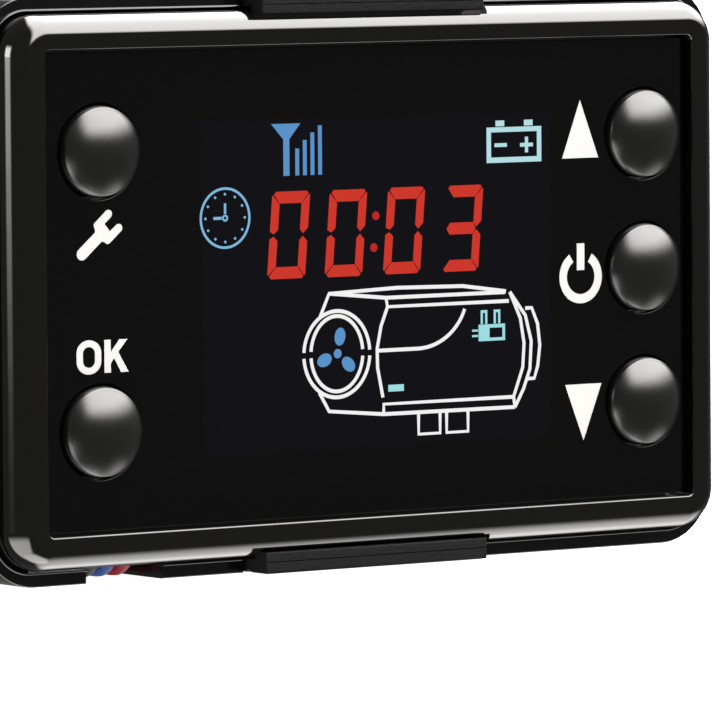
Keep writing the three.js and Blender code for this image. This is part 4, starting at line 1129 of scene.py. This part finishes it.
LINE_W = 0.42
FAN_X, FAN_Z = -4.9, -8.0
FAN_REACH, BLADE_LONG, BLADE_WIDE, FAN_HUB_R = 1.9, 1.0, 0.72, 0.52
drawn(
    "heater_picture",
    [
        *(arc(-5, -8.05, 4.45, 4.75, start, start + 172, 40) for start in (4, 184)),
        *(arc(-5, -8.0, 3.5, 4.15, start, start + 170, 40) for start in (5, 185)),
        [(-7.3, -4.0), (-6.0, -1.35), (3.2, -1.05), (12.2, -1.2), (18.2, -2.0)],
        [(-6.0, -1.35), (1.7, -2.1), (18.1, -2.1)],
        [(1.7, -2.1), (1.9, -3.1), (18.6, -3.1)],
        [(1.9, -3.1), (1.0, -5.2), (0.45, -7.7), (0.5, -9.8), (1.2, -13.1)],
        [(0.5, -7.9), (6.0, -7.9)] + arc(6.0, -1.6, 6.9, 6.3, 270, 340, 14),
        [(1.3, -14.95), (1.3, -13.85), (19.2, -13.85)],
        [(-7.4, -12.2), (-6.1, -14.3), (1.3, -14.95), (19.4, -15.0)],
        [(18.75, -2.1), (20.2, -5.1), (20.7, -7.9)]
        + [(20.5, -10.6), (19.2, -13.85), (19.4, -15.0)],
        [(18.75, -2.1), (20.9, -4.8), (21.7, -7.7)]
        + [(21.5, -10.8), (20.6, -13.0), (19.4, -15.0)],
        [(20.9, -4.0), (21.8, -4.0), (22.6, -5.8), (22.9, -8.2)]
        + [(22.6, -10.5), (22.1, -11.9), (21.2, -11.9)],
        [(6.05, -15.1), (6.05, -17.4), (9.0, -17.4), (9.0, -15.1)],
        [(9.9, -15.1), (9.9, -17.4), (12.85, -17.4), (12.85, -15.1)],
    ],
    LINE_W,
    LINE_WHITE,
)
blades = []
for i in range(3):
    turn = math.radians(80 + 120 * i)
    blade_x = FAN_X + FAN_REACH * math.cos(turn)
    blade_z = FAN_Z + FAN_REACH * math.sin(turn)
    blades.append(
        [
            (
                blade_x + a * math.cos(turn) - b * math.sin(turn),
                blade_z + a * math.sin(turn) + b * math.cos(turn),
            )
            for a, b in arc(0, 0, BLADE_LONG, BLADE_WIDE, 0, 340, 17)
        ]
    )
blades.append(arc(FAN_X, FAN_Z, FAN_HUB_R, FAN_HUB_R, 0, 345, 23))
film("fan_sign", blades, BLUE, 1.0)
film(
    "plug_and_level_signs",
    [
        bar(1.95, -12.5, 4.05, -11.75),
        bar(14.7, -5.55, 15.6, -4.0),
        bar(14.98, -5.55, 15.32, -4.3),
        bar(16.5, -5.55, 17.4, -4.0),
        bar(16.78, -5.55, 17.12, -4.3),
        bar(14.4, -7.45, 18.05, -5.6),
        bar(15.9, -7.1, 17.7, -6.0),
        bar(13.5, -6.35, 14.3, -6.12),
        bar(13.5, -6.95, 14.3, -6.72),
    ],
    TEAL,
    1.0,
)

# ------------------------------------------------------------------ inside the housing
# The display module, the board and what is soldered to it. They are real pieces of the panel
# behind the lens, and keep their own solids with the finish of the real parts.

TIN = ("display_pins_upper", "display_pins_lower", "crystal", "radio_receiver", "capacitor")
SCREWS = [name for name in bpy.data.objects.keys() if name.startswith("screw_")]
for name, colour, metallic, grain, nodes in (
    ("display_glass_black", (0.004, 0.005, 0.007), 0, (300, 2, 0.04, 0.04), ["display_glass"]),
    (
        "white_polycarbonate",
        (0.78, 0.78, 0.75),
        0,
        (1500, 2, 0.35, 0.2, 0.00002),
        ("display_backlight", "lead_header", "lead_socket"),
    ),
    ("tinned_metal", (0.62, 0.63, 0.65), 1, (900, 4, 0.25, 0.25), TIN),
    (
        "chip_epoxy",
        (0.014, 0.014, 0.015),
        0,
        (4000, 3, 0.5, 0.2, 0.00002),
        ("microcontroller", "voltage_regulator", "buzzer"),
    ),
    ("phosphor_bronze", (0.55, 0.28, 0.12), 1, (1200, 2, 0.25, 0.2), ["radio_aerial"]),
    ("zinc_plated_steel", (0.5, 0.51, 0.53), 1, (1600, 4, 0.25, 0.3), SCREWS),
):
    finish = Finish(name, Base_Color=(*colour, 1), Metallic=metallic)
    dress(finish.grain(*grain), *nodes)

mask = Finish("green_solder_mask")
TRACK_WIDE = 0.06
tracks = mask.node(
    "TexVoronoi", {"feature": "DISTANCE_TO_EDGE"}, Vector=mask.here(), Scale=260.0
)
track = tracks.sum("LESS_THAN", TRACK_WIDE)
mask.feed("Base Color", mask.mix(track, (0.012, 0.11, 0.045, 1), (0.03, 0.2, 0.09, 1)))
mask.feed("Roughness", mask.noise(800) * 0.15 + 0.3)
mask.bump(track, 0.00003)
dress(mask.material, "main_board")

# ------------------------------------------------------------------ rear cover
# A shallow tray of satin black ABS that closes the frame from behind; only its sides show,
# in the gap round it and through the holder's cable notch. It keeps its own solid.

texture = Finish(
    "satin_black_abs", Base_Color=(0.0016, 0.0016, 0.0016, 1), Specular_IOR_Level=0.3
)
dress(texture.grain(3600, 4, 0.10, 0.05, 0.000004, gain=0.62), "rear_cover")

# ------------------------------------------------------------------ wall holder
# A tray of satin black ABS that is screwed to the wall through two slots, with a fine bead
# round its lip. Guide ribs and pads inside it seat the panel, which the two latches hold.

TRAY_W, TRAY_H, TRAY_CORNER_R = 96.3, 60.4, 4.8
HOLDER_W, HOLDER_H = 99.5, 63.6
HOLDER_CORNER_R = 7
LIP_Y, PLATE_Y, BACK_Y = 4.5, 15.8, 17.8
BEAD = 0.26
RIB_SIDE, RIB_FRONT_Y, RIB_BACK_Y = 0.8, 7.5, 16.2
PAD_R, PAD_FRONT_Y = 3, 15.3
holder = box(
    "moulded_holder",
    (-HOLDER_W / 2, LIP_Y, -HOLDER_H / 2),
    (HOLDER_W / 2, BACK_Y, HOLDER_H / 2),
)
round_along("y", HOLDER_CORNER_R, 18)
round_rim(BACK_Y, 0.8, 4)
round_rim(LIP_Y, 0.2, 3)
bead = box(
    "lip_bead",
    (-TRAY_W / 2 - BEAD, LIP_Y - BEAD, -TRAY_H / 2 - BEAD),
    (TRAY_W / 2 + BEAD, LIP_Y + 0.5, TRAY_H / 2 + BEAD),
)
round_along("y", TRAY_CORNER_R + BEAD, 18)
round_rim(LIP_Y - BEAD, BEAD - 0.01, 6)
carve(holder, bead, "UNION")
tray = box(
    "tray",
    (-TRAY_W / 2, LIP_Y - 1, -TRAY_H / 2),
    (TRAY_W / 2, PLATE_Y, TRAY_H / 2),
)
round_along("y", TRAY_CORNER_R, 18)
carve(holder, tray)
for side in (-1, 1):
    for z in (-14, 14):
        low, high = span(side, 47.15, 48.55)
        rib = box(
            "guide_rib", (low, RIB_FRONT_Y, z - RIB_SIDE), (high, RIB_BACK_Y, z + RIB_SIDE)
        )
        round_along("z", 0.2, 2)
        carve(holder, rib, "UNION")
    for x in (-22, 22):
        low, high = span(side, 29.2, 30.6)
        rib = box(
            "guide_rib", (x - RIB_SIDE, RIB_FRONT_Y, low), (x + RIB_SIDE, RIB_BACK_Y, high)
        )
        round_along("x", 0.2, 2)
        carve(holder, rib, "UNION")
    for z in (-20, 20):
        pad = drum("pad", side * 16, PAD_FRONT_Y, RIB_BACK_Y, z, PAD_R, 48)
        carve(holder, pad, "UNION")

LATCH_ROOT_Y = 13
NOTCH_LEFT, NOTCH_RIGHT, NOTCH_TOP = -36.155, -26.155, -24.8
notch = box(
    "cable_notch", (NOTCH_LEFT, LIP_Y - 1, TABLE - 1), (NOTCH_RIGHT, BACK_Y + 1, NOTCH_TOP)
)
carve(holder, notch)
for side in (-1, 1):
    low, high = span(side, 29.2, 33)
    bay = box(
        "latch_bay",
        (-LATCH_W / 2 - 0.4, LIP_Y - 1, low),
        (LATCH_W / 2 + 0.4, LATCH_ROOT_Y + GAP, high),
    )
    round_along("z", 0.4, 4)
    carve(holder, bay)
SCREW_X = 30
for side in (-1, 1):
    for width, length, y0, y1 in ((4.5, 9, 15, 19), (8.9, 13.4, 15, 16.8)):
        slot = box(
            "screw_slot",
            (side * SCREW_X - length / 2, y0, -width / 2),
            (side * SCREW_X + length / 2, y1, width / 2),
        )
        round_along("y", width / 2 - 0.01, 14)
        carve(holder, slot)
close(holder, "panel_in_holder", texture.material, ["wall_holder"], 28)

# ------------------------------------------------------------------ latches
# Two springy tongues of the holder's own wall, set free by a gap on each side. Their hooks
# reach over the bezel's shoulder; thumb grooves and a coarse texture give them grip.

HOOK_Z = 29.4
TONGUE_FRONT_Y = 0.6
GROOVE_R, GROOVE_L = 0.00042, 0.034
GROOVE_Y, GROOVE_PITCH = 4.1, 1.5
grip = Finish(
    "coarse_black_abs", Base_Color=(0.003, 0.003, 0.0031, 1), Specular_IOR_Level=0.1
)
grip.grain(2300, 5, 0.48, 0.15, 0.00009, gain=0.7)
for side, shift, name in ((1, 0, "top_latch"), (-1, 0.1, "bottom_latch")):
    inside, outside = side * TRAY_H / 2 + shift, side * HOLDER_H / 2 + shift
    low, high = sorted((inside, outside))
    tongue = box(
        f"{name}_tongue",
        (-LATCH_W / 2, TONGUE_FRONT_Y, low),
        (LATCH_W / 2, LATCH_ROOT_Y, high),
    )
    pick("edges", lambda e: abs(along(e).y) > 0.9 or abs(along(e).x) > 0.9)
    chamfer(0.15, 2)
    low, high = sorted((side * HOOK_Z + shift, inside + side * 0.5))
    hook = box(
        "hook", (-LATCH_W / 2, TONGUE_FRONT_Y, low), (LATCH_W / 2, HOOK_END, high)
    )
    carve(tongue, hook, "UNION")
    for i in range(4):
        groove = begin(
            "thumb_groove",
            bpy.ops.mesh.primitive_cylinder_add,
            vertices=24,
            radius=GROOVE_R,
            depth=GROOVE_L,
            location=at(0, GROOVE_Y + GROOVE_PITCH * i, outside + side * 0.12),
            rotation=(0, math.pi / 2, 0),
        )
        carve(tongue, groove)
    bpy.ops.object.mode_set(mode="EDIT")
    round_rim(TONGUE_FRONT_Y, 0.22, 3)
    close(tongue, f"{name}_tongue", grip.material, [name], 28)

# ------------------------------------------------------------------ studio
# A pale table in a light tent. One soft sheet lights the panel from the right and from above.
# Its left is dark but for a narrow bright slot, and the lit table shines up from below.

SHEET_LIGHT, SHEET_FALL = 15.5, 4
SLOT_LIGHT, AMBIENT_LIGHT = 18, 0.2
FRONT_LIGHT, LEFT_LIGHT, RIGHT_LIGHT = 9, 7, 4.3

world = bpy.data.worlds.new("light_tent")
bpy.context.scene.world = world
world.use_nodes = True


class Tent(Finish):
    """The light that comes from all round, by its direction."""

    def __init__(self, tree):
        self.tree = tree

    def towards(self, azimuth):
        """How far a direction points to one side, by its angle from the right."""
        turn = math.radians(azimuth)
        return self.node(
            "VectorMath",
            {"operation": "DOT_PRODUCT"},
            "Value",
            _0=self.node("TexCoord"),
            _1=(math.cos(turn), math.sin(turn), 0),
        )


tent = Tent(world.node_tree)
climb = tent.node("SeparateXYZ", output=2, Vector=tent.node("TexCoord"))
overhead = tent.towards(-6)
sheet = overhead.ramp(-0.10, 0.12) * (climb + overhead * 0.1).ramp(0.27, 0.59)
sheet = sheet * (tent.towards(150) - climb * 0.05).ramp(0.06, -0.04)
sheet = sheet * (SHEET_LIGHT - tent.towards(40).ramp(0, 0.6) * SHEET_FALL)
slot = tent.towards(263).sum("ABSOLUTE").ramp(0.20, 0.10) * tent.towards(173).ramp(0, 0.1)
slot = slot * climb.ramp(-0.08, 0.04) * climb.ramp(0.48, 0.28) * SLOT_LIGHT
front = climb.ramp(-0.80, -0.94) * tent.towards(-90).ramp(-0.16, 0) * FRONT_LIGHT
left_side = tent.towards(148).ramp(-0.14, 0.10) * tent.towards(-112).ramp(-0.06, 0.06)
left_side = left_side * climb.ramp(-0.20, -0.50) * LEFT_LIGHT
right_side = tent.towards(82).ramp(-0.45, 0.10) * tent.towards(-40).ramp(-0.05, 0.12)
right_side = right_side * climb.ramp(-0.45, -0.70) * RIGHT_LIGHT
from_table = left_side.sum("MAXIMUM", right_side).sum("MAXIMUM", front)
background = tent.tree.nodes["Background"]
tent.tree.links.new(
    (sheet + slot + from_table + AMBIENT_LIGHT).socket, background.inputs["Strength"]
)
background.inputs["Color"].default_value = (1, 0.985, 0.965, 1)

floor_paint = Finish(
    "pale_floor",
    Base_Color=(0.86, 0.86, 0.86, 1),
    Emission_Color=(1, 1, 1, 1),
    Emission_Strength=1.0,
)
bpy.ops.mesh.primitive_plane_add(size=12, location=(0, 3, 0))
floor = bpy.context.object
floor.name = "floor"
floor.data.materials.append(floor_paint.material)
floor.visible_glossy = False
floor.visible_diffuse = False
floor.visible_shadow = False
